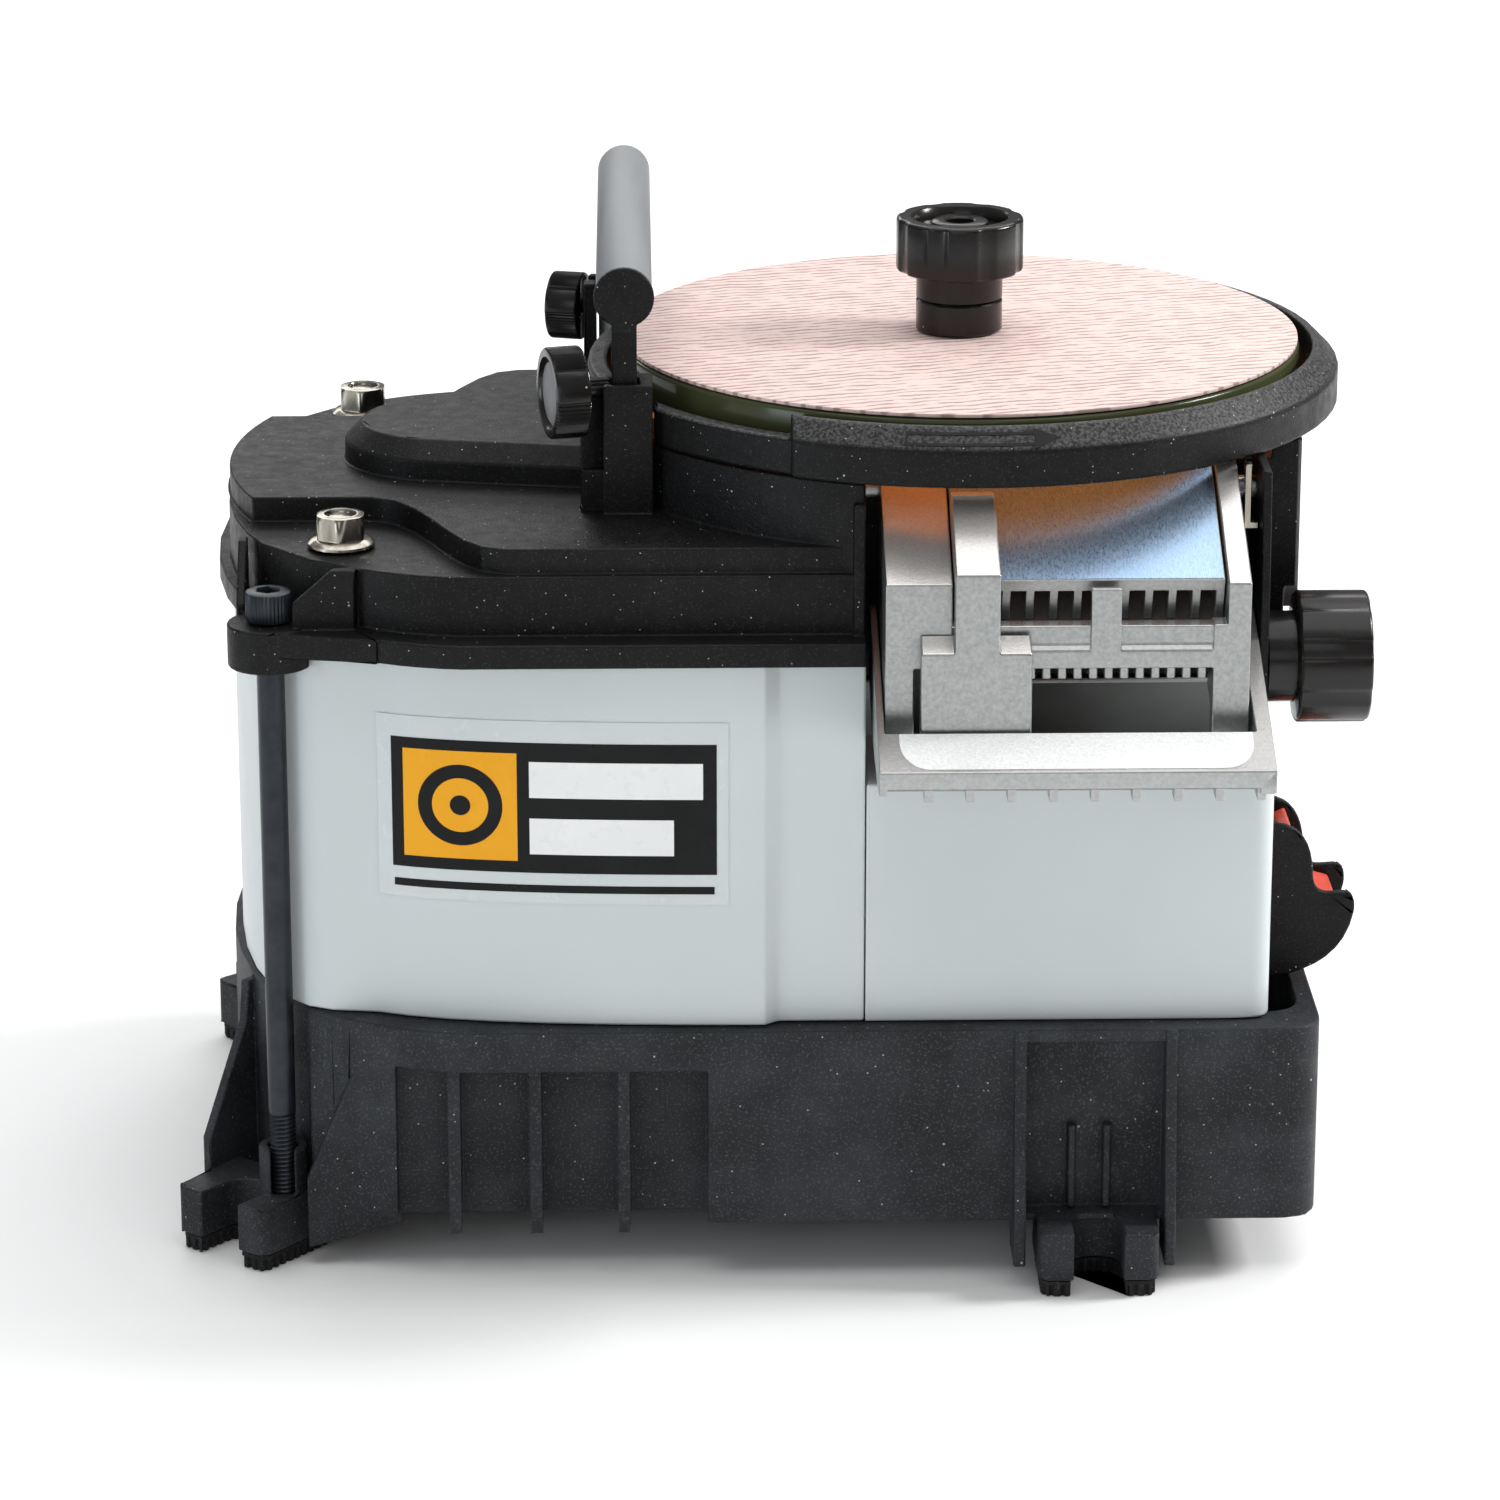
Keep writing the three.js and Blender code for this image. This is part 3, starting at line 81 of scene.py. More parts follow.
PLATFORM_Y, PLATFORM_Z = -91.0, 158.6
GUARD_RADIUS, RIM_EDGE = 83.7, 184.3
TRAY_BACK_Y, TRAY_BACK_Z = -102.0, 129.0
TRAY_FRONT_Y, TRAY_FRONT_Z = -114.0, 124.2
WINDOW_WALL_Y = -46.4
PAD_TOP = 3.5
SIGN_X, SIGN_Z = -109.3, 106.2
CAMERA_LENS, CAMERA_SENSOR = 137.9, 36.0

# The largest fold that counts as flat, and the smallest ones that show as an edge.
FLAT_ANGLE = math.radians(0.08)
CAD_SHARP_ANGLE, RING_SHARP_ANGLE = math.radians(35), math.radians(40)

# In metres, in the object's own frame.
WELD_DISTANCE = 2e-6
FLOOR_SIZE, FLOOR_DROP = 12.0, 0.0001
CAMERA_PLACE = (-0.0282, -1.2275, 0.4929)
CAMERA_LOOK = (0.0199, 0.9511, -0.3082)

DRIVE_PARTS = (
    "motor_shaft", "rotor_core", "motor_pulley", "cooling_fan", "chassis_plate", "motor_screw_1",
    "motor_screw_2", "motor_screw_3", "stator_core", "stator_windings", "end_bell_upper",
    "end_bell_lower", "motor_bearing_upper", "motor_bearing_lower", "drive_belt", "run_capacitor",
    "capacitor_clip", "spindle_housing", "spindle_bearing_lower", "spindle_bearing_upper",
    "spindle_shaft", "spindle_pulley",
)


# ---------------------------------------------------------------- node graph helper
class Graph:
    """A small wrapper that builds one principled material."""

    def __init__(self, name):
        self.material = bpy.data.materials.new(name)
        self.material.use_nodes = True
        self.tree = self.material.node_tree
        self.shader = self.tree.nodes["Principled BSDF"]
        self.coords = self.tree.nodes.new("ShaderNodeTexCoord").outputs["Object"]

    def add(self, kind, inputs=None, **settings):
        node = self.tree.nodes.new(kind)
        for key, value in settings.items():
            setattr(node, key, value)
        for key, value in (inputs or {}).items():
            self.put(node.inputs[key], value)
        return node

    def put(self, socket, value):
        if isinstance(value, bpy.types.NodeSocket):
            self.tree.links.new(value, socket)
        else:
            socket.default_value = value

    def scaled(self, scale, turn=(0, 0, 0)):
        inputs = {"Vector": self.coords, "Scale": scale, "Rotation": turn}
        return self.add("ShaderNodeMapping", inputs).outputs["Vector"]

    def noise(self, scale, detail=3.0, roughness=0.55, vector=None, distortion=0.0):
        inputs = {"Vector": vector or self.coords, "Scale": scale, "Detail": detail,
                  "Roughness": roughness, "Distortion": distortion}
        return self.add("ShaderNodeTexNoise", inputs).outputs["Fac"]

    def ramp(self, factor, *stops):
        node = self.add("ShaderNodeValToRGB", {"Fac": factor})
        elements = node.color_ramp.elements
        while len(elements) < len(stops):
            elements.new(0.5)
        for element, (position, colour) in zip(elements, stops):
            element.position = position
            element.color = colour if len(colour) == 4 else (*colour, 1.0)
        return node.outputs["Color"]

    def grey(self, factor, *stops):
        return self.ramp(factor, *[(p, (v, v, v)) for p, v in stops])

    def mix(self, factor, first, second, blend="MIX"):
        node = self.add("ShaderNodeMix", data_type="RGBA", blend_type=blend)
        for index, value in ((0, factor), (6, first), (7, second)):
            if isinstance(value, tuple) and len(value) == 3:
                value = (*value, 1.0)
            self.put(node.inputs[index], value)
        return node.outputs[2]

    def math(self, operation, first, second=0.0, clamp=False):
        node = self.add("ShaderNodeMath", operation=operation, use_clamp=clamp)
        self.put(node.inputs[0], first)
        self.put(node.inputs[1], second)
        return node.outputs[0]

    def specks(self, scale, size, share):
        """Scattered round dots: 1 inside a dot, 0 elsewhere."""
        cells = self.add("ShaderNodeTexVoronoi", {"Vector": self.coords, "Scale": scale})
        near = self.math("LESS_THAN", cells.outputs["Distance"], size)
        split = self.add("ShaderNodeSeparateColor", {"Color": cells.outputs["Color"]})
        chosen = self.math("LESS_THAN", split.outputs[0], share)
        return self.math("MULTIPLY", near, chosen)

    def bump(self, height, strength, distance):
        inputs = {"Height": height, "Strength": strength, "Distance": distance}
        return self.add("ShaderNodeBump", inputs).outputs["Normal"]

    def finish(self, **sockets):
        for key, value in sockets.items():
            name = key.replace("_", " ")
            if isinstance(value, tuple) and len(value) == 3 and name != "Normal":
                value = (*value, 1.0)
            self.put(self.shader.inputs[name], value)
        return self.material


# ---------------------------------------------------------------- materials
def upward_share(g, start, full):
    """0 on faces that look sideways, rising to 1 on faces that look up."""
    facing = g.add("ShaderNodeTexCoord").outputs["Normal"]
    level = g.add("ShaderNodeSeparateXYZ", {"Vector": facing}).outputs["Z"]
    return g.grey(level, (start, 0.0), (full, 1.0))


def moulded(name, dark, light, speck, rough, grain=1.0, share=0.04, gloss=0.24, top_sheen=0.0):
    """Grained black plastic with pale dust caught in its texture.

    The last argument is the grey that its upward faces pale to: a painted sheen, standing for light caught
    on the tops.
    """
    g = Graph(name)
    cloud = g.noise(55.0, 5.0, 0.6)
    fine = g.noise(1500.0, 2.0, 0.6)
    base = g.mix(g.grey(cloud, (0.35, 0.0), (0.75, 1.0)), dark, light)
    sparkle = g.grey(g.noise(2300.0, 1.0, 0.5), (0.60, 0.0), (0.72, 0.5))
    grainy = g.mix(sparkle, base, tuple(5 * v for v in light))
    # Painted sheen: upward faces pale towards a grey through a fine grain, in place of light caught on the
    # tops.
    if top_sheen:
        painted_top_light = g.math("MULTIPLY", upward_share(g, 0.4, 0.65), g.grey(fine, (0.4, 0.1), (0.62, 1.0)))
        grainy = g.mix(painted_top_light, grainy, (top_sheen, top_sheen, top_sheen))
    dust = g.math("ADD", g.specks(700.0, 0.10, share), g.specks(260.0, 0.055, share), clamp=True)
    colour = g.mix(dust, grainy, speck)
    normal = g.bump(fine, min(1.0, 0.35 * grain), 0.00014)
    rough_map = g.grey(g.noise(300.0, 3.0), (0.3, rough - 0.07), (0.7, rough + 0.09))
    return g.finish(Base_Color=colour, Roughness=rough_map, Normal=normal, Specular_IOR_Level=gloss)


def white_case():
    g = Graph("white_case")
    cloud = g.noise(18.0, 3.0)
    base = g.mix(g.grey(cloud, (0.3, 0.0), (0.7, 1.0)), (0.575, 0.625, 0.630), (0.605, 0.655, 0.660))
    marks = g.specks(160.0, 0.05, 0.03)
    colour = g.mix(marks, base, (0.25, 0.27, 0.27))
    normal = g.bump(g.noise(2200.0, 2.0), 0.05, 0.00005)
    rough = g.grey(g.noise(90.0, 3.0), (0.3, 0.34), (0.7, 0.42))
    return g.finish(Base_Color=colour, Roughness=rough, Normal=normal)


def charcoal():
    """The base: matte, with dusty patches, pale specks and rubbed places."""
    g = Graph("charcoal")
    patch = g.noise(38.0, 6.0, 0.65)
    base = g.mix(g.grey(patch, (0.4, 0.0), (0.72, 1.0)), (0.012, 0.0135, 0.016), (0.034, 0.037, 0.042))
    rub = g.noise(7.0, 6.0, 0.75, g.scaled((1.0, 1.0, 3.5)), 1.2)
    rubbed = g.mix(g.grey(rub, (0.60, 0.0), (0.74, 0.55)), base, (0.075, 0.08, 0.088))
    sparkle = g.grey(g.noise(1900.0, 1.0, 0.5), (0.56, 0.0), (0.70, 0.5))
    grainy = g.mix(sparkle, rubbed, (0.085, 0.09, 0.095))
    dust = g.math("ADD", g.specks(620.0, 0.11, 0.14), g.specks(240.0, 0.06, 0.12), clamp=True)
    colour = g.mix(dust, grainy, (0.40, 0.41, 0.42))
    normal = g.bump(g.noise(900.0, 3.0), 0.28, 0.0001)
    rough = g.grey(g.noise(120.0, 4.0), (0.3, 0.5), (0.7, 0.68))
    return g.finish(Base_Color=colour, Roughness=rough, Normal=normal, Specular_IOR_Level=0.26)


def cast_alloy(name, dark, light, rough=0.44, metallic=0.75, grain=0.4, painted_top_colour=(0.70, 0.675, 0.65)):
    """Cast light alloy, paler and less metallic on the faces that look up; the paler colour there is
    painted light, standing for the light that falls on the tops.
    """
    g = Graph(name)
    cloud = g.noise(1100.0, 3.0, 0.6)
    fine = g.noise(1700.0, 3.0, 0.6)
    upward = upward_share(g, 0.55, 0.85)
    cast = g.mix(g.grey(cloud, (0.3, 0.0), (0.7, 1.0)), dark, light)
    # Painted top light: upward faces take a paler colour, standing for the light that falls on them.
    painted_top_light = g.mix(g.grey(fine, (0.35, 0.0), (0.65, 1.0)), tuple(0.82 * v for v in painted_top_colour), painted_top_colour)
    normal = g.bump(fine, grain, 0.0001)
    rough_map = g.grey(upward, (0.0, rough + 0.02), (1.0, 0.6 * rough + 0.04))
    shine = g.grey(upward, (0.0, metallic), (1.0, 0.75 * metallic))
    colour = g.mix(upward, cast, painted_top_light)
    return g.finish(Base_Color=colour, Roughness=rough_map, Metallic=shine, Normal=normal)


def platform_face():
    """Frosted metal with a fine grain running up the slope and soft bands across it."""
    g = Graph("platform_face")
    along = g.scaled((2600.0, 700.0, 700.0))
    grain = g.noise(1.0, 4.0, 0.6, along)
    band = g.noise(1.0, 2.0, 0.5, g.scaled((28.0, 60.0, 60.0)))
    base = g.mix(g.grey(grain, (0.3, 0.0), (0.7, 1.0)), (0.25, 0.39, 0.58), (0.42, 0.57, 0.77))
    colour = g.mix(g.grey(band, (0.35, 0.0), (0.7, 0.5)), base, (0.50, 0.64, 0.82))
    normal = g.bump(grain, 0.15, 0.0001)
    rough = g.grey(grain, (0.3, 0.24), (0.7, 0.34))
    return g.finish(Base_Color=colour, Roughness=rough, Metallic=0.85, Normal=normal)


def abrasive(name, dark, light, groove, glow=0.0):
    """Coated paper: rows of short wavy grooves in a fine grit.

    glow is light of its own, in place of what a bench would throw up at it.
    """
    g = Graph(name)
    turn = (0.0, 0.0, math.radians(-15))
    groove_pitch = 0.0027
    across = g.add("ShaderNodeSeparateXYZ", {"Vector": g.scaled((1.0, 1.0, 1.0), turn)}).outputs["Y"]
    drift = g.noise(1.0, 3.0, 0.55, g.scaled((90.0, 60.0, 40.0), turn))
    rows = g.math("MULTIPLY", across, 2 * math.pi / groove_pitch)
    phase = g.math("ADD", rows, g.math("MULTIPLY", drift, 11.0))
    wave = g.math("MULTIPLY", g.math("SINE", phase), 0.5)
    broken = g.noise(1.0, 2.0, 0.5, g.scaled((210.0, 330.0, 60.0), turn))
    ridge = g.math("ADD", wave, g.math("MULTIPLY", broken, 1.5))
    grit = g.noise(2600.0, 2.0, 0.6)
    base = g.mix(g.grey(grit, (0.3, 0.0), (0.7, 1.0)), dark, light)
    line = g.grey(ridge, (0.30, 0.9), (0.62, 0.0))
    colour = g.mix(line, base, groove)
    height = g.math("ADD", ridge, g.math("MULTIPLY", grit, 0.4))
    normal = g.bump(height, 0.25, 0.0002)
    return g.finish(Base_Color=colour, Roughness=0.8, Normal=normal,
                    Emission_Color=light, Emission_Strength=glow)


def shaded_face():
    """A pale wall deep in shade: darker to the left and towards the top."""
    g = Graph("shaded_face")
    place = g.scaled((17.0, 0.0, -16.0))
    split = g.add("ShaderNodeSeparateXYZ", {"Vector": place})
    fall = g.math("ADD", split.outputs["X"], split.outputs["Z"])
    cloud = g.math("MULTIPLY", g.noise(40.0, 2.0), 0.3)
    lit = g.math("ADD", g.math("ADD", fall, cloud), 0.95)
    colour = g.ramp(lit, (0.15, (0.03, 0.031, 0.026)), (0.8, (0.30, 0.315, 0.305)))
    return g.finish(Base_Color=colour, Roughness=0.5)


def glass_edge():
    g = Graph("wheel_glass")
    colour = g.mix(g.noise(30.0, 2.0), (0.030, 0.034, 0.014), (0.075, 0.080, 0.036))
    return g.finish(Base_Color=colour, Roughness=0.16, Specular_IOR_Level=0.22)


def satin_plastic(name, dark, light, rough, speck=(0.4, 0.4, 0.4), share=0.01, gloss=0.5, grain=0.12):
    g = Graph(name)
    cloud = g.noise(70.0, 4.0)
    base = g.mix(g.grey(cloud, (0.3, 0.0), (0.7, 1.0)), dark, light)
    colour = g.mix(g.specks(420.0, 0.1, share), base, speck)
    normal = g.bump(g.noise(900.0, 3.0), grain, 0.00008)
    rough_map = g.grey(g.noise(240.0, 4.0), (0.3, rough - 0.05), (0.7, rough + 0.1))
    return g.finish(Base_Color=colour, Roughness=rough_map, Normal=normal, Specular_IOR_Level=gloss)


def metal(name, dark, light, rough, stretch=(200.0, 200.0, 200.0), metallic=1.0, grain=0.1):
    """Bare metal with a grain that runs along the short entries of stretch."""
    g = Graph(name)
    grainy = g.noise(1.0, 4.0, 0.6, g.scaled(stretch))
    colour = g.mix(g.grey(grainy, (0.3, 0.0), (0.7, 1.0)), dark, light)
    normal = g.bump(grainy, grain, 0.00008)
    rough_map = g.grey(grainy, (0.3, rough - 0.05), (0.7, rough + 0.08))
    return g.finish(Base_Color=colour, Roughness=rough_map, Metallic=metallic, Normal=normal)


def laminations():
    """Stacked steel sheet, seen as fine level lines."""
    g = Graph("laminations")
    height = g.add("ShaderNodeSeparateXYZ", {"Vector": g.coords}).outputs["Z"]
    sheets_per_metre = 1000.0
    wave = g.math("SINE", g.math("MULTIPLY", height, 2 * math.pi * sheets_per_metre))
    # The math node's third input, which is added, stays at its own 0.5.
    line = g.math("MULTIPLY_ADD", wave, 0.5)
    rust = g.noise(60.0, 4.0)
    base = g.mix(line, (0.16, 0.16, 0.17), (0.42, 0.42, 0.43))
    colour = g.mix(g.grey(rust, (0.5, 0.0), (0.8, 0.3)), base, (0.25, 0.15, 0.1))
    return g.finish(Base_Color=colour, Roughness=0.45, Metallic=0.9, Normal=g.bump(line, 0.4, 0.0002))


def windings():
    """Enamelled copper wire laid round each end of the core."""
    g = Graph("windings")
    wire = g.noise(1.0, 3.0, 0.5, g.scaled((180.0, 180.0, 1600.0)))
    colour = g.mix(wire, (0.28, 0.09, 0.03), (0.80, 0.38, 0.17))
    return g.finish(Base_Color=colour, Roughness=0.3, Metallic=0.9, Normal=g.bump(wire, 0.6, 0.0004))


def case_plastic(name, top_sheen=0.0):
    # A non-zero last argument gives the upward faces a painted sheen.
    return moulded(name, (0.0045, 0.0045, 0.0047), (0.0095, 0.0095, 0.0097), (0.46, 0.46, 0.45),
                   0.45, 2.0, 0.24, 0.17, top_sheen)


def make_materials():
    """The finished material for each material slot of the record."""
    return {
        "black_case": case_plastic("black_case"),
        "charcoal": charcoal(),
        "white_case": white_case(),
        "rubber": moulded("rubber", (0.010, 0.010, 0.010), (0.020, 0.020, 0.020), (0.12, 0.12, 0.12), 0.78),
        "black_oxide": metal("black_oxide", (0.016, 0.020, 0.026), (0.036, 0.042, 0.050), 0.36,
                             metallic=0.6),
        "zinc": metal("zinc", (0.22, 0.20, 0.16), (0.50, 0.47, 0.41), 0.20, (300.0, 300.0, 60.0)),
        "cast_alloy": cast_alloy("cast_alloy", (0.30, 0.31, 0.31), (0.41, 0.42, 0.415), 0.29, 0.9, 0.3),
        "bright_alloy": cast_alloy("bright_alloy", (0.35, 0.36, 0.36), (0.46, 0.47, 0.465), 0.32, 0.85,
                                   0.4, (0.47, 0.46, 0.45)),
        "steel": metal("steel", (0.40, 0.41, 0.43), (0.62, 0.63, 0.65), 0.28, (60.0, 60.0, 900.0)),
        "laminations": laminations(),
        "copper": windings(),
        "cast_iron": cast_alloy("cast_iron", (0.05, 0.05, 0.052), (0.10, 0.10, 0.102), 0.6, 0.5, 0.7,
                                (0.09, 0.09, 0.092)),
        "glass": glass_edge(),
        "pink_paper": abrasive("pink_paper", (0.66, 0.485, 0.45), (0.76, 0.60, 0.565), (0.35, 0.245, 0.23)),
        "orange_paper": abrasive("orange_paper", (0.88, 0.20, 0.03), (0.95, 0.30, 0.05),
                                 (0.70, 0.14, 0.02), 0.35),
        "black_knob": satin_plastic("black_knob", (0.0055, 0.0048, 0.0044), (0.012, 0.0098, 0.009), 0.20,
                                    (0.35, 0.35, 0.35), 0.02, 0.36),
        "red_plastic": satin_plastic("red_plastic", (0.62, 0.06, 0.03), (0.74, 0.10, 0.06), 0.35),
        "grey_tube": metal("grey_tube", (0.20, 0.208, 0.218), (0.25, 0.26, 0.27), 0.50,
                           (90.0, 14.0, 90.0), 0.35, 0.06),
        "belt_rubber": moulded("belt_rubber", (0.012, 0.012, 0.012), (0.02, 0.02, 0.02),
                               (0.1, 0.1, 0.1), 0.7),
        "label": satin_plastic("label", (0.005, 0.0055, 0.006), (0.009, 0.0095, 0.010), 0.3, gloss=0.16),
        "can_alloy": metal("can_alloy", (0.50, 0.51, 0.52), (0.72, 0.73, 0.74), 0.25, (20.0, 500.0, 500.0)),
        "nylon": satin_plastic("nylon", (0.66, 0.63, 0.54), (0.76, 0.73, 0.64), 0.42),
    }


# ---------------------------------------------------------------- pieces from the frame
def publish(mesh, name, material, body, replaced=()):
    piece = bpy.data.objects.new(name, mesh)
    bpy.context.scene.collection.objects.link(piece)
    mesh.materials.clear()
    mesh.materials.append(material)
    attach(piece, body)
    if replaced:
        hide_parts(*replaced)
    return piece


def soften(piece, width, segments=3, angle=30):
    """Rounds a piece's edges as a mould or a casting would."""
    bevel = piece.modifiers.new("soft_edges", "BEVEL")
    bevel.width = width * MM
    bevel.segments = segments
    bevel.limit_method = "ANGLE"
    bevel.angle_limit = math.radians(angle)
    bevel.use_clamp_overlap = False
    bevel.miter_outer = "MITER_ARC"
    bevel.harden_normals = False
    normals = piece.modifiers.new("even_normals", "WEIGHTED_NORMAL")
    normals.keep_sharp = True
    return piece


def tidy_mesh(source):
    """A copy of a CAD mesh with its coplanar triangles joined into flat faces."""
    mesh = source.data.copy()
    bm = bmesh.new()
    bm.from_mesh(mesh)
    bmesh.ops.remove_doubles(bm, verts=bm.verts, dist=WELD_DISTANCE)
    bmesh.ops.dissolve_limit(bm, angle_limit=FLAT_ANGLE, verts=bm.verts, edges=bm.edges)
    bmesh.ops.triangulate(bm, faces=[f for f in bm.faces if len(f.verts) > 4])
    for face in bm.faces:
        face.smooth = True
    bm.to_mesh(mesh)
    bm.free()
    mesh.set_sharp_from_angle(angle=CAD_SHARP_ANGLE)
    return mesh


def refined(node, width, segments=3, angle=30, material=None):
    """The CAD node's own shape as a new piece, with softened edges and a finished material."""
    slot = SLOT_OF[node]
    material = material or MATERIALS[slot]
    piece = publish(tidy_mesh(NODES[node]), node + "_finished", material, BODY_OF[node], [node])
    return soften(piece, width, segments, angle)


# ---------------------------------------------------------------- pieces built from rings
def ring_mesh(name, rings, capped=True, smooth=True):
    """A skin over rings of points that all have the same count, closed at both ends by caps."""
    mesh = bpy.data.meshes.new(name)
    bm = bmesh.new()
    rows = [[bm.verts.new(point) for point in ring] for ring in rings]
    count = len(rows[0])
    for low, high in zip(rows, rows[1:]):
        for i in range(count):
            j = (i + 1) % count
            bm.faces.new((low[i], low[j], high[j], high[i]))
    if capped:
        bm.faces.new(list(reversed(rows[0])))
        bm.faces.new(rows[-1])
    bmesh.ops.recalc_face_normals(bm, faces=bm.faces)
    for face in bm.faces:
        face.smooth = smooth
    bm.to_mesh(mesh)
    bm.free()
    if smooth:
        mesh.set_sharp_from_angle(angle=RING_SHARP_ANGLE)
    return mesh


def ring_at(frame_matrix, radius_of, height, count):
    """One ring: radius_of(angle) across the frame's X and Y, at a height along its Z."""
    points = []
    for i in range(count):
        angle = 2 * math.pi * i / count
        radius = radius_of(angle)
        local = Vector((radius * math.cos(angle), radius * math.sin(angle), height))
        points.append((frame_matrix @ local + SPINDLE) * MM)
    return points


def circle_at(matrix, radius, height, count):
    return ring_at(matrix, lambda angle: radius, height, count)


def placed(origin, z_axis):
    """A frame whose Z looks along z_axis from origin, in millimetres from the spindle."""
    turn = Vector(z_axis).normalized().to_track_quat("Z", "Y").to_matrix().to_4x4()
    return Matrix.Translation(Vector(origin)) @ turn


def upright(x=0.0, y=0.0):
    """A frame that stands on the bench at x, y, with its Z up."""
    return placed((x, y, 0), (0, 0, 1))


def sloped(y, z, turn):
    """A frame at y, z that is turned about the object's X axis."""
    return Matrix.Translation(Vector((0, y, z))) @ Matrix.Rotation(turn, 4, "X")


def bored_mesh(name, pairs, sides):
    """A turned skin that closes on itself round the spindle. pairs holds (radius, height)."""
    rings = [circle_at(upright(), radius, height, sides) for radius, height in pairs]
    return ring_mesh(name, rings + rings[:1], capped=False)


def turned(name, profile, matrix, material, body, replaced=(), sides=96, shape=None):
    """A turned piece. profile holds (radius, height, depth), depth scaling the rim's own shape."""
    rings = []
    for radius, height, depth in profile:
        rings.append(ring_at(matrix, lambda a, r=radius, d=depth: r - d * (shape(a) if shape else 0.0),
                             height, sides))
    return publish(ring_mesh(name, rings), name, material, body, replaced)


def rounded(radius, low, high, edge, steps=4):
    """(radius, height) pairs for a cylinder's side with both edges rounded."""
    pairs = []
    for i in range(steps + 1):
        a = math.pi / 2 * i / steps
        pairs.append((radius - edge + edge * math.sin(a), low + edge - edge * math.cos(a)))
    for i in range(steps + 1):
        a = math.pi / 2 * i / steps
        pairs.append((radius - edge + edge * math.cos(a), high - edge + edge * math.sin(a)))
    return pairs


def scallop(angle):
    """1 at the bottom of a finger flute and 0 on the land between two flutes."""
    flutes, half_share = 8, 0.18
    phase = (angle * flutes / (2 * math.pi)) % 1.0
    offset = abs(phase - 0.5) / half_share
    return math.sqrt(max(0.0, 1.0 - offset * offset)) if offset < 1 else 0.0


# ---------------------------------------------------------------- knobs
def hand_knob(name, node, matrix, radius, neck, neck_low, head_low, head_top, dish):
    """A fluted hand knob: neck, eight finger flutes, and a face dished round a raised boss."""
    flute_depth = 0.55
    profile = [(0.5, neck_low, 0), (neck - 0.2, neck_low, 0), (neck, neck_low + 0.2, 0),
               (neck, head_low - 0.2, 0), (neck + 0.3, head_low, 0)]
    profile += [(r, z, flute_depth) for r, z in rounded(radius, head_low, head_top, 0.9)]
    face = [(dish + 0.5, 0.0), (dish, 0.5), (dish - 0.3, 2.8), (6.6, 3.0), (6.2, 1.2), (5.8, 0.9),
            (3.6, 0.9), (3.2, 1.3), (3.1, 5.0), (0.3, 5.2)]
    profile += [(r, head_top - drop, 0) for r, drop in face]
    return turned(name, profile, matrix, MATERIALS["black_knob"], BODY_OF[node], [node],
                  192, scallop)


def clamp_frame(side, height):
    """A frame on a rest clamp's screw. side is -1 at the front and 1 at the rear."""
    axis = (-math.cos(CLAMP_LEAN), side * math.sin(CLAMP_LEAN), 0)
    return placed((REST_X, side * CLAMP_Y, height), axis)


def ribs(angle):
    """Four ribbed stretches round a thumb knob, with a plain grip between each two."""
    plain_share, rib_count = 0.45, 64
    sector = (angle * 4 / (2 * math.pi)) % 1.0
    if sector < plain_share:
        return 0.0
    return 0.5 + 0.5 * math.cos(angle * rib_count)


def rest_knob(name, node, side, radius, height, screw_from):
    """A small thumb knob: ribbed rim with plain grips, dished face, and its screw."""
    near, far = CLAMP_NEAR, CLAMP_FAR
    profile = [(0.4, screw_from, 0), (1.4, screw_from, 0), (1.6, screw_from + 0.3, 0), (1.6, near - 0.1, 0),
               (radius * 0.55, near, 0)]
    profile += [(r, z, 0.35) for r, z in rounded(radius, near, far, 0.6, 3)]
    profile += [(radius * 0.80, far, 0), (radius * 0.76, far - 0.5, 0), (radius * 0.70, far - 0.9, 0),
                (radius * 0.4, far - 1.1, 0), (0.4, far - 1.15, 0)]
    return turned(name, profile, clamp_frame(side, height), MATERIALS["black_knob"], BODY_OF[node],
                  [node], 256, ribs)


def knob_face(name, node, side, radius, height):
    """The pale grey disc in the middle of a thumb knob."""
    far = CLAMP_FAR
    profile = [(0.3, far - 1.15, 0), (radius * 0.60, far - 1.05, 0), (radius * 0.68, far - 0.85, 0),
               (radius * 0.66, far - 0.70, 0), (radius * 0.3, far - 0.85, 0), (0.3, far - 0.88, 0)]
    return turned(name, profile, clamp_frame(side, height), KNOB_FACE_GREY, BODY_OF[node], (), 64)


def build_collar():
    """The plain ring between the wheel and its knob."""
    name, outer, edge = "knob_collar_finished", 9.5, 0.35
    pairs = [(COLLAR_BORE, COLLAR_LOW), (outer - 0.3, COLLAR_LOW), (outer, COLLAR_LOW + edge),
             (outer, COLLAR_TOP - edge), (outer - 0.3, COLLAR_TOP), (COLLAR_BORE, COLLAR_TOP)]
    publish(bored_mesh(name, pairs, 96), name, MATERIALS["black_knob"], BODY_OF["knob_collar"],
            ["knob_collar"])


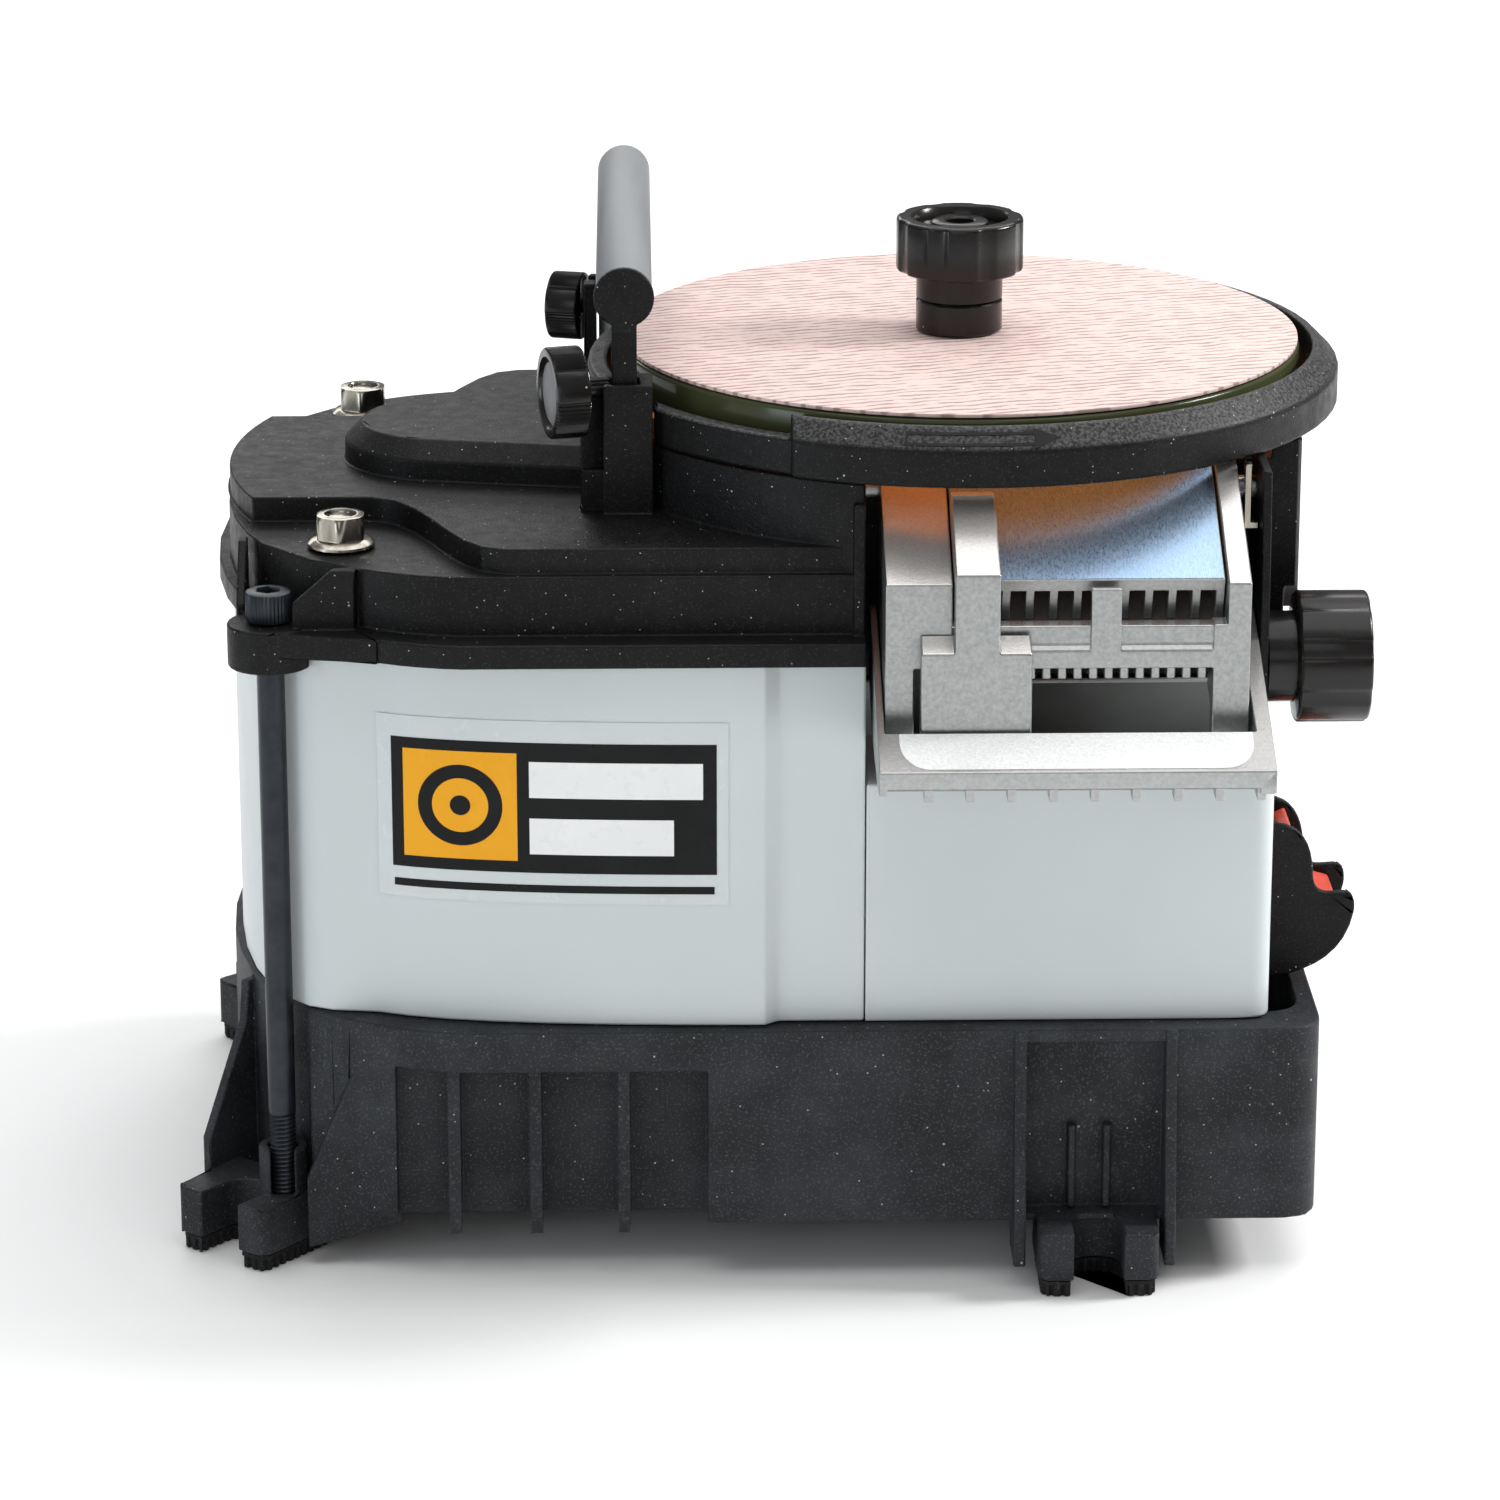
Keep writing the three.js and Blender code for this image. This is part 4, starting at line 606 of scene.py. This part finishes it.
def build_knobs():
    hand_knob("wheel_knob_finished", "wheel_knob", upright(), KNOB_RADIUS, NECK_RADIUS,
              KNOB_NECK_LOW, KNOB_LOW, KNOB_TOP, dish=10.4)
    rightward = placed((0, PORT_KNOB_Y, PORT_KNOB_Z), (1, 0, 0))
    hand_knob("port_knob_finished", "port_knob", rightward, KNOB_RADIUS + 0.2, NECK_RADIUS + 0.3,
              PORT_KNOB_NECK, PORT_KNOB_LOW, PORT_KNOB_TOP, dish=10.6)
    build_collar()
    rest_knob("rest_front_knob_finished", "rest_front_knob", -1, FRONT_CLAMP_RADIUS, FRONT_CLAMP_Z,
              screw_from=3.2)
    knob_face("rest_front_knob_face", "rest_front_knob", -1, FRONT_CLAMP_RADIUS, FRONT_CLAMP_Z)
    rest_knob("rest_rear_knob_finished", "rest_rear_knob", 1, REAR_CLAMP_RADIUS, REAR_CLAMP_Z,
              screw_from=6.4)


# ---------------------------------------------------------------- threads and bolts
def thread_radius(base, depth, height, angle):
    phase = (height / THREAD_PITCH - angle / (2 * math.pi)) % 1.0
    return base - depth * abs(2 * phase - 1)


def threaded_rings(matrix, radius, low, high):
    """Rings that follow a screw thread, which fades out at both ends."""
    rings_per_turn, fade_rings = 5, 4
    steps = int((high - low) / THREAD_PITCH * rings_per_turn)
    rings = []
    for k in range(steps + 1):
        z = low + (high - low) * k / steps
        depth = THREAD_DEPTH * min(1.0, k / fade_rings, (steps - k) / fade_rings)
        rings.append(ring_at(matrix, lambda a, z=z, d=depth: thread_radius(radius, d, z, a), z, BOLT_SIDES))
    return rings


def hexagon(angle):
    """Radius of a hexagon whose corners are at 1."""
    sector = (angle + math.pi / 6) % (math.pi / 3) - math.pi / 6
    return math.cos(math.pi / 6) / math.cos(sector)


def knurl(angle):
    """1 in each groove of a bolt head's knurl and 0 on each ridge."""
    grooves = 36
    return 0.5 + 0.5 * math.cos(angle * grooves)


def bolt_shank(node, matrix):
    """The bolt's thread and plain shank."""
    name = node + "_shank"
    rings = [circle_at(matrix, r, BOLT_FOOT + rise, BOLT_SIDES) for r, rise in ((2.3, 0.0), (2.7, 0.5))]
    rings += threaded_rings(matrix, BOLT_RADIUS, BOLT_FOOT + 0.7, BOLT_THREAD_TOP)
    rings += [circle_at(matrix, BOLT_RADIUS, z, BOLT_SIDES) for z in (BOLT_THREAD_TOP + 0.4, BOLT_SEAT)]
    publish(ring_mesh(name, rings), name, MATERIALS["black_oxide"], "body", [node])


def bolt_head(node, matrix):
    """A knurled round head with a hexagon socket."""
    name = node + "_head"
    profile = [(3.1, BOLT_SEAT + 0.05, 0), (4.6, BOLT_SEAT + 0.05, 0)]
    profile += [(r, z, 0.22) for r, z in rounded(4.98, BOLT_SEAT + 0.1, BOLT_TOP, 0.5, 2)]
    profile += [(3.2, BOLT_TOP + 0.25, 0)]
    rings = [ring_at(matrix, lambda a, r=r, d=d: r - d * knurl(a), z, HEAD_SIDES) for r, z, d in profile]
    socket = ((2.9, BOLT_TOP + 0.2), (2.75, BOLT_TOP - 0.2), (2.75, BOLT_TOP - 3.1), (0.2, BOLT_TOP - 3.5))
    rings += [ring_at(matrix, lambda a, r=r: r * hexagon(a), z, HEAD_SIDES) for r, z in socket]
    publish(ring_mesh(name, rings), name, MATERIALS["black_oxide"], "body")


def build_tie_bolt(node, side):
    """A long bolt through one left-hand corner. side is -1 at the front and 1 at the rear."""
    matrix = upright(BOLT_X, side * BOLT_Y)
    bolt_shank(node, matrix)
    bolt_head(node, matrix)


def flanged_nut(node, matrix):
    """A hexagon nut with a flange, its corners cut back to a circle."""
    name = node + "_hex"
    flange = ((3.2, 0.0), (6.9, 0.0), (7.25, 0.35), (7.2, 0.9), (6.2, 1.7))
    hexagonal = ((5.6, 1.9), (5.6, 6.1), (5.15, 6.9), (4.4, 7.1), (3.5, 7.1), (3.15, 6.6), (3.1, 0.2))
    rings = [circle_at(matrix, r, NUT_SEAT + rise, 96) for r, rise in flange]
    for limit, rise in hexagonal:
        rings.append(ring_at(matrix, lambda a, r=limit: min(NUT_CORNER * hexagon(a), r),
                             NUT_SEAT + rise, 96))
    publish(ring_mesh(name, rings), name, MATERIALS["zinc"], "body", [node])


def threaded_stud(node, matrix):
    """The stud that a cover nut is screwed on."""
    name = node + "_stud"
    rings = [circle_at(matrix, r, STUD_LOW + rise, BOLT_SIDES) for r, rise in ((2.4, 0.0), (2.9, 0.3))]
    rings += threaded_rings(matrix, 2.95, STUD_LOW + 1.0, STUD_TOP - 0.5)
    rings += [circle_at(matrix, 2.2, STUD_TOP, BOLT_SIDES)]
    publish(ring_mesh(name, rings), name, MATERIALS["zinc"], "body")


def build_cover_nut(node):
    low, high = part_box(node)
    centre = (low + high) / 2 / MM - SPINDLE
    matrix = upright(centre.x, centre.y)
    flanged_nut(node, matrix)
    threaded_stud(node, matrix)


def build_fasteners():
    build_tie_bolt("tie_bolt_front", -1)
    build_tie_bolt("tie_bolt_rear", 1)
    build_cover_nut("cover_nut_front")
    build_cover_nut("cover_nut_rear")


# ---------------------------------------------------------------- tool rest
def build_rest():
    """The round bar that a tool jig slides on, its two legs and its front end disc."""
    along = placed((REST_X, 0, REST_Z), (0, 1, 0))
    end = 3.2
    profile = [(REST_RADIUS - 0.8, REST_FRONT + 2.0, 0), (REST_RADIUS - 0.3, REST_FRONT + 2.0, 0),
               (REST_RADIUS, REST_FRONT + 2.4, 0), (REST_RADIUS, REST_REAR - end, 0)]
    for i in range(1, 7):
        a = math.pi / 2 * i / 6
        profile.append((REST_RADIUS - end + end * math.cos(a), REST_REAR - end + end * math.sin(a), 0))
    turned("rest_tube_finished", profile, along, MATERIALS["grey_tube"], "rest", ["rest_tube"])
    refined("rest_rear_leg", 0.4, 3)
    refined("rest_front_leg", 0.35, 3, 34)
    disc_side = ((0.3, 0.02), (5.0, 0.02), (5.3, 0.2), (5.9, 0.2), (6.35, 0.5), (6.4, 1.2), (6.1, 1.55),
                 (0.3, 1.6))
    cap = [(radius, REST_FRONT + back, 0) for radius, back in disc_side]
    turned("rest_end_cap", cap, along, GLOSS_BLACK, "rest")


# ---------------------------------------------------------------- wheel
def disc(name, node, radius, low, high, edge, slot):
    """A flat disc round the wheel's bore, with a rounded rim."""
    pairs = [(WHEEL_BORE, low)] + rounded(radius, low, high, edge, 3) + [(WHEEL_BORE, high)]
    return publish(bored_mesh(name, pairs, 160), name, MATERIALS[slot], BODY_OF[node], [node])


def build_wheel():
    paper_edge = 0.12
    disc("glass_wheel_finished", "glass_wheel", WHEEL_RADIUS, GLASS_LOW, GLASS_TOP, 0.9, "glass")
    disc("abrasive_top_finished", "abrasive_top", PAPER_RADIUS, TOP_PAPER_LOW, TOP_PAPER_TOP,
         paper_edge, "pink_paper")
    disc("abrasive_bottom_finished", "abrasive_bottom", PAPER_RADIUS, UNDER_PAPER_LOW, UNDER_PAPER_TOP,
         paper_edge, "orange_paper")
    refined("drive_hub", 0.3)


# ---------------------------------------------------------------- feet
def underside_outline(node):
    """The ordered corner points round a node's flat underside."""
    bm = bmesh.new()
    bm.from_mesh(NODES[node].data)
    bmesh.ops.remove_doubles(bm, verts=bm.verts, dist=WELD_DISTANCE)
    low = min(v.co.z for v in bm.verts)
    flat = [f for f in bm.faces if all(v.co.z - low < WELD_DISTANCE / 2 for v in f.verts)]
    following = {}
    for face in flat:
        for loop in face.loops:
            if sum(linked in flat for linked in loop.edge.link_faces) == 1:
                following[loop.vert] = loop.link_loop_next.vert
    start = here = next(iter(following))
    points = []
    while True:
        points.append(here.co.xy.copy())
        here = following[here]
        if here is start:
            break
    bm.free()
    return points


def build_foot_pad(node):
    """A rubber pad whose rim is cut into small square teeth."""
    points = underside_outline(node)
    pairs = list(zip(points, points[1:] + points[:1]))
    area = sum(a.x * b.y - b.x * a.y for a, b in pairs)
    inward = 1.0 if area > 0 else -1.0
    step, pitch, depth = 0.36, 2.2, 0.6
    notch_start, notch_end = 0.28, 0.72
    spots = []
    travelled = 0.0
    for first, second in pairs:
        length = (second - first).length / MM
        count = max(1, round(length / step))
        along = (second - first).normalized()
        for k in range(count):
            tooth = ((travelled + length * k / count) / pitch) % 1.0
            spot = first + (second - first) * (k / count)
            cut = 1.0 if notch_start < tooth < notch_end else 0.0
            spots.append((spot, Vector((-along.y, along.x)), cut))
        travelled += length
    levels = [(0.02, 0.2, depth), (0.3, 0.0, depth), (2.5, 0.0, depth), (2.7, 0.0, 0.0),
              (PAD_TOP - 0.02, 0.0, 0.0)]
    rings = []
    for z, shrink, bite in levels:
        moved = [spot + normal * inward * (shrink + bite * cut) * MM for spot, normal, cut in spots]
        rings.append([Vector((*spot, z * MM)) for spot in moved])
    return publish(ring_mesh(node + "_toothed", rings), node + "_toothed", MATERIALS["rubber"], "body",
                   [node])


# ---------------------------------------------------------------- label on the curved wall
def wall_y(x):
    """Front face of the pale housing at x, on the curve from the fold to the step."""
    start, middle, end = Vector((-127.7, -73.2)), Vector((-108.0, -82.6)), Vector((-44.7, -83.0))
    low, high = 0.0, 1.0
    for _ in range(30):
        t = (low + high) / 2
        here = start * (1 - t) ** 2 + middle * 2 * t * (1 - t) + end * t * t
        low, high = (t, high) if here.x < x else (low, t)
    return here.y


def wall_patch(name, columns, lift, material, replaced=()):
    """A thin skin on the front wall. columns holds (x, low z, high z) from left to right."""
    thickness = 0.06
    back = lift - thickness
    rings = []
    for x, low, high in columns:
        corners = ((back, low), (lift, low), (lift, high), (back, high))
        rings.append([(Vector((x, wall_y(x) - out, z)) + SPINDLE) * MM for out, z in corners])
    return publish(ring_mesh(name, rings, smooth=False), name, material, "body", replaced)


def bar(x0, x1, low, high, count=24):
    """The columns of a plain rectangle."""
    return [(x0 + (x1 - x0) * i / count, low, high) for i in range(count + 1)]


def round_patch(x, z, radius, count=40):
    """The columns of a circle."""
    narrowest = 0.02
    columns = []
    for i in range(count + 1):
        a = math.pi * i / count
        half = max(radius * math.sin(a), narrowest)
        columns.append((x - radius * math.cos(a), z - half, z + half))
    return columns


def build_label():
    """A generic plate: an amber panel with a plain wheel sign, and plain pale bars."""
    board = MATERIALS["label"]
    wall_patch("label_film", bar(-127.0, -52.4, 84.8, 125.4, 40), 0.10, FILM)
    wall_patch("label_board", bar(-123.9, -54.9, 91.6, 120.6, 40), 0.17, board, ["label_plate"])
    wall_patch("label_panel", bar(-121.4, -97.2, 94.2, 118.2, 20), 0.22, AMBER)
    wall_patch("label_ring", round_patch(SIGN_X, SIGN_Z, 9.0), 0.27, board)
    wall_patch("label_disc", round_patch(SIGN_X, SIGN_Z, 6.0), 0.32, AMBER)
    wall_patch("label_hub", round_patch(SIGN_X, SIGN_Z, 2.2), 0.37, board)
    for i, (x1, low, high) in enumerate(((-57.8, 108.4, 116.4), (-64.0, 95.8, 103.8))):
        wall_patch(f"label_bar_{i + 1}", bar(-94.6, x1, low, high), 0.24, PALE)
    wall_patch("label_line", bar(-123.6, -55.4, 87.2, 88.9, 40), 0.16, board)


# ---------------------------------------------------------------- guard, platform and small trim
def rim_point(angle, climb, out):
    """A point on the guard's sloping rim, climb above its lower edge and out from its face."""
    a = math.radians(angle)
    radius = GUARD_RADIUS - climb + out * 0.7
    height = RIM_EDGE + climb + out * 0.7
    return (Vector((radius * math.sin(a), -radius * math.cos(a), height)) + SPINDLE) * MM


def rim_strip(name, angles, low, high):
    """A thin dark strip on the guard's rim: painted shade for an engraved line. Angles are measured from
    the front, to the right.
    """
    sunk, proud = -0.2, 0.09
    rings = []
    for angle, z0, z1 in zip(angles, low, high):
        corners = ((z0, sunk), (z0, proud), (z1, proud), (z1, sunk))
        rings.append([rim_point(angle, climb, out) for climb, out in corners])
    return publish(ring_mesh(name, rings, smooth=False), name, GLOSS_BLACK, "body")


def build_guard_arrow():
    """An outline arrow on the rim that shows which way the wheel turns, its engraved lines drawn as strips
    of painted shade.
    """
    start, neck, tip = -11.0, 8.0, 11.8
    middle, half, line = 2.1, 1.2, 0.5
    wing, point, tail = 1.75, 0.05, 0.4
    shaft_steps, head_steps = 20, 8
    shaft = [start + (neck - start) * i / shaft_steps for i in range(shaft_steps + 1)]
    count = len(shaft)
    rim_strip("arrow_upper_line", shaft, [middle + half - line] * count, [middle + half] * count)
    rim_strip("arrow_lower_line", shaft, [middle - half] * count, [middle - half + line] * count)
    rim_strip("arrow_tail", [start, start + tail], [middle - half] * 2, [middle + half] * 2)
    head = [neck + (tip - neck) * i / head_steps for i in range(head_steps + 1)]
    spread = [wing * (1 - i / head_steps) + point for i in range(head_steps + 1)]
    rim_strip("arrow_head", head, [middle - s for s in spread], [middle + s for s in spread])


def plate_on(name, corners, thick, matrix, material, body):
    """A thin flat plate with the given outline, lying on the matrix's X and Y plane."""
    rings = [[(matrix @ Vector((x, y, z)) + SPINDLE) * MM for x, y in corners] for z in (0.0, thick)]
    return publish(ring_mesh(name, rings, smooth=False), name, material, body)


def build_scoop():
    """The hollow in the tray's sloping front, with its two round corners: a thin plate whose near-white
    colour is a painted highlight on the slope.
    """
    fall = math.atan2(TRAY_BACK_Z - TRAY_FRONT_Z, TRAY_BACK_Y - TRAY_FRONT_Y)
    left, right, back, front = -17.4, 56.0, -0.4, -11.9
    across, down = 6.2, 8.6
    quarter = [math.pi / 2 * i / 12 for i in range(13)]
    corners = [(right, back), (left, back)]
    corners += [(left + across - across * math.cos(a), front + down - down * math.sin(a)) for a in quarter]
    corners += [(right - across + across * math.sin(a), front + down - down * math.cos(a)) for a in quarter]
    plate_on("tray_scoop", corners, 0.12, sloped(TRAY_BACK_Y, TRAY_BACK_Z, fall), SCOOP_HIGHLIGHT, "port")


def build_platform():
    """The frosted skin on top of the finned block."""
    left, right, low, high = -5.3, 50.5, 0.4, 38.2
    corners = [(left, low), (right, low), (right, high), (left, high)]
    plate_on("platform_skin", corners, 0.14, sloped(PLATFORM_Y, PLATFORM_Z, PLATFORM_TILT), PLATFORM,
             "port")


def build_window_shade():
    """The shaded face of the wall that shows through the opening under the platform."""
    left, right, low, high = -12.0, 60.0, 109.5, 122.4
    corners = [(left, low), (right, low), (right, high), (left, high)]
    plate_on("window_shade", corners, 0.1, sloped(WINDOW_WALL_Y, 0, math.pi / 2), SHADED, "body")


# ---------------------------------------------------------------- assembly
MATERIALS = make_materials()
KNOB_FACE_GREY = satin_plastic("knob_face_grey", (0.16, 0.16, 0.17), (0.30, 0.30, 0.31), 0.5)
# The guard's plastic, with a painted sheen on its upward faces.
GUARD_PLASTIC = case_plastic("guard_plastic", 0.075)
GLOSS_BLACK = satin_plastic("gloss_black", (0.002, 0.002, 0.002), (0.004, 0.004, 0.004), 0.12, share=0.0,
                            gloss=0.2, grain=0.02)
FILM = satin_plastic("label_film", (0.60, 0.65, 0.655), (0.62, 0.67, 0.675), 0.2)
AMBER = satin_plastic("label_amber", (0.86, 0.38, 0.012), (0.90, 0.42, 0.018), 0.28, gloss=0.18)
PALE = satin_plastic("label_pale", (0.82, 0.83, 0.83), (0.86, 0.87, 0.87), 0.28)
PLATFORM = platform_face()
# Painted highlight: a near-white colour for the tray's upward slope, where light falls.
SCOOP_HIGHLIGHT = cast_alloy("scoop_highlight", (0.80, 0.81, 0.80), (0.90, 0.91, 0.90), 0.42, 0.2, 0.2,
                      (0.88, 0.89, 0.88))
SHADED = shaded_face()


def build_case():
    refined("base_tub", 0.5, 3)
    refined("motor_housing", 0.5, 2)
    refined("port_panel", 0.6, 3)
    refined("top_cover", 0.5, 3)
    refined("wheel_guard", 0.8, 4, 24, GUARD_PLASTIC)
    refined("port_hanger", 0.25, 2)
    refined("cord_gland", 0.4, 2)
    for node in [n for n in NODES if n.startswith("foot_pad")]:
        build_foot_pad(node)


def build_port():
    refined("port_frame", 0.35, 3)
    refined("heat_sink", 0.18, 2)
    refined("port_tray", 0.3, 3)
    refined("chisel_fence", 0.45, 3)
    refined("detent_spring", 0.2, 2)
    refined("pivot_pin_left", 0.2, 2)
    refined("pivot_pin_right", 0.2, 2)


def build_switch():
    refined("switch_housing", 0.6, 3)
    refined("power_paddle", 0.6, 3)
    refined("switch_module", 0.4, 2)


def build_drive():
    for node in DRIVE_PARTS:
        refined(node, 0.3, 2)


def build_stage():
    """A white floor just under the pads."""
    mesh = bpy.data.meshes.new("floor")
    bm = bmesh.new()
    bmesh.ops.create_grid(bm, x_segments=2, y_segments=2, size=FLOOR_SIZE)
    bm.to_mesh(mesh)
    bm.free()
    floor = bpy.data.objects.new("floor", mesh)
    floor.location.z = -FLOOR_DROP
    bpy.context.scene.collection.objects.link(floor)
    g = Graph("floor_white")
    mesh.materials.append(g.finish(Base_Color=(0.93, 0.93, 0.93), Roughness=0.9))


def softbox(name, place, target, size, power, tint=(1.0, 1.0, 1.0)):
    """A rectangular light that faces its target. Places and sizes are in metres, power in watts."""
    light = bpy.data.lights.new(name, "AREA")
    light.shape = "RECTANGLE"
    light.size, light.size_y = size
    light.energy = power
    light.color = tint
    lamp = bpy.data.objects.new(name, light)
    lamp.location = place
    lamp.rotation_euler = (Vector(target) - Vector(place)).to_track_quat("-Z", "Y").to_euler()
    bpy.context.scene.collection.objects.link(lamp)


def build_world():
    """A soft room: bright overhead, dim at eye level."""
    dim, bright = 0.07, 0.55
    world = bpy.data.worlds.new("studio")
    world.use_nodes = True
    tree = world.node_tree
    coords = tree.nodes.new("ShaderNodeTexCoord")
    split = tree.nodes.new("ShaderNodeSeparateXYZ")
    ramp = tree.nodes.new("ShaderNodeValToRGB")
    for element, position, level in zip(ramp.color_ramp.elements, (0.0, 0.9), (dim, bright)):
        element.position = position
        element.color = (level, level, level, 1.0)
    tree.links.new(coords.outputs["Generated"], split.inputs["Vector"])
    tree.links.new(split.outputs["Z"], ramp.inputs["Fac"])
    tree.links.new(ramp.outputs["Color"], tree.nodes["Background"].inputs["Color"])
    bpy.context.scene.world = world


def build_lights():
    middle = (0.0, 0.0, 0.1)
    softbox("overhead", (0.1, 0.1, 2.3), (0.1, 0.1, 0.0), (2.6, 2.7), 33.0)
    softbox("back_wash", (0.3, 2.6, 2.3), (0.1, 1.6, 0.0), (3.4, 1.2), 34.0)
    softbox("back_sheen", (-0.9, 2.6, 1.15), middle, (1.6, 0.5), 7.0)
    softbox("key_right", (1.3, 0.1, 0.95), middle, (0.35, 0.35), 20.0)
    softbox("front_fill", (-0.3, -2.1, 0.8), middle, (1.4, 0.8), 4.2)
    softbox("cool_left", (-1.7, -1.0, 0.25), middle, (0.5, 0.7), 7.0, (0.78, 0.90, 1.0))
    build_world()
    bpy.context.scene.view_settings.view_transform = "Standard"


def build_camera():
    data = bpy.data.cameras.new("camera")
    data.sensor_width = CAMERA_SENSOR
    data.lens = CAMERA_LENS
    data.clip_end = 60.0
    camera = bpy.data.objects.new("camera", data)
    camera.location = CAMERA_PLACE
    camera.rotation_euler = Vector(CAMERA_LOOK).to_track_quat("-Z", "Y").to_euler()
    bpy.context.scene.collection.objects.link(camera)
    bpy.context.scene.camera = camera


build_camera()
build_case()
build_port()
build_switch()
build_drive()
build_wheel()
build_rest()
build_knobs()
build_fasteners()
build_label()
build_guard_arrow()
build_scoop()
build_platform()
build_window_shade()
build_stage()
build_lights()
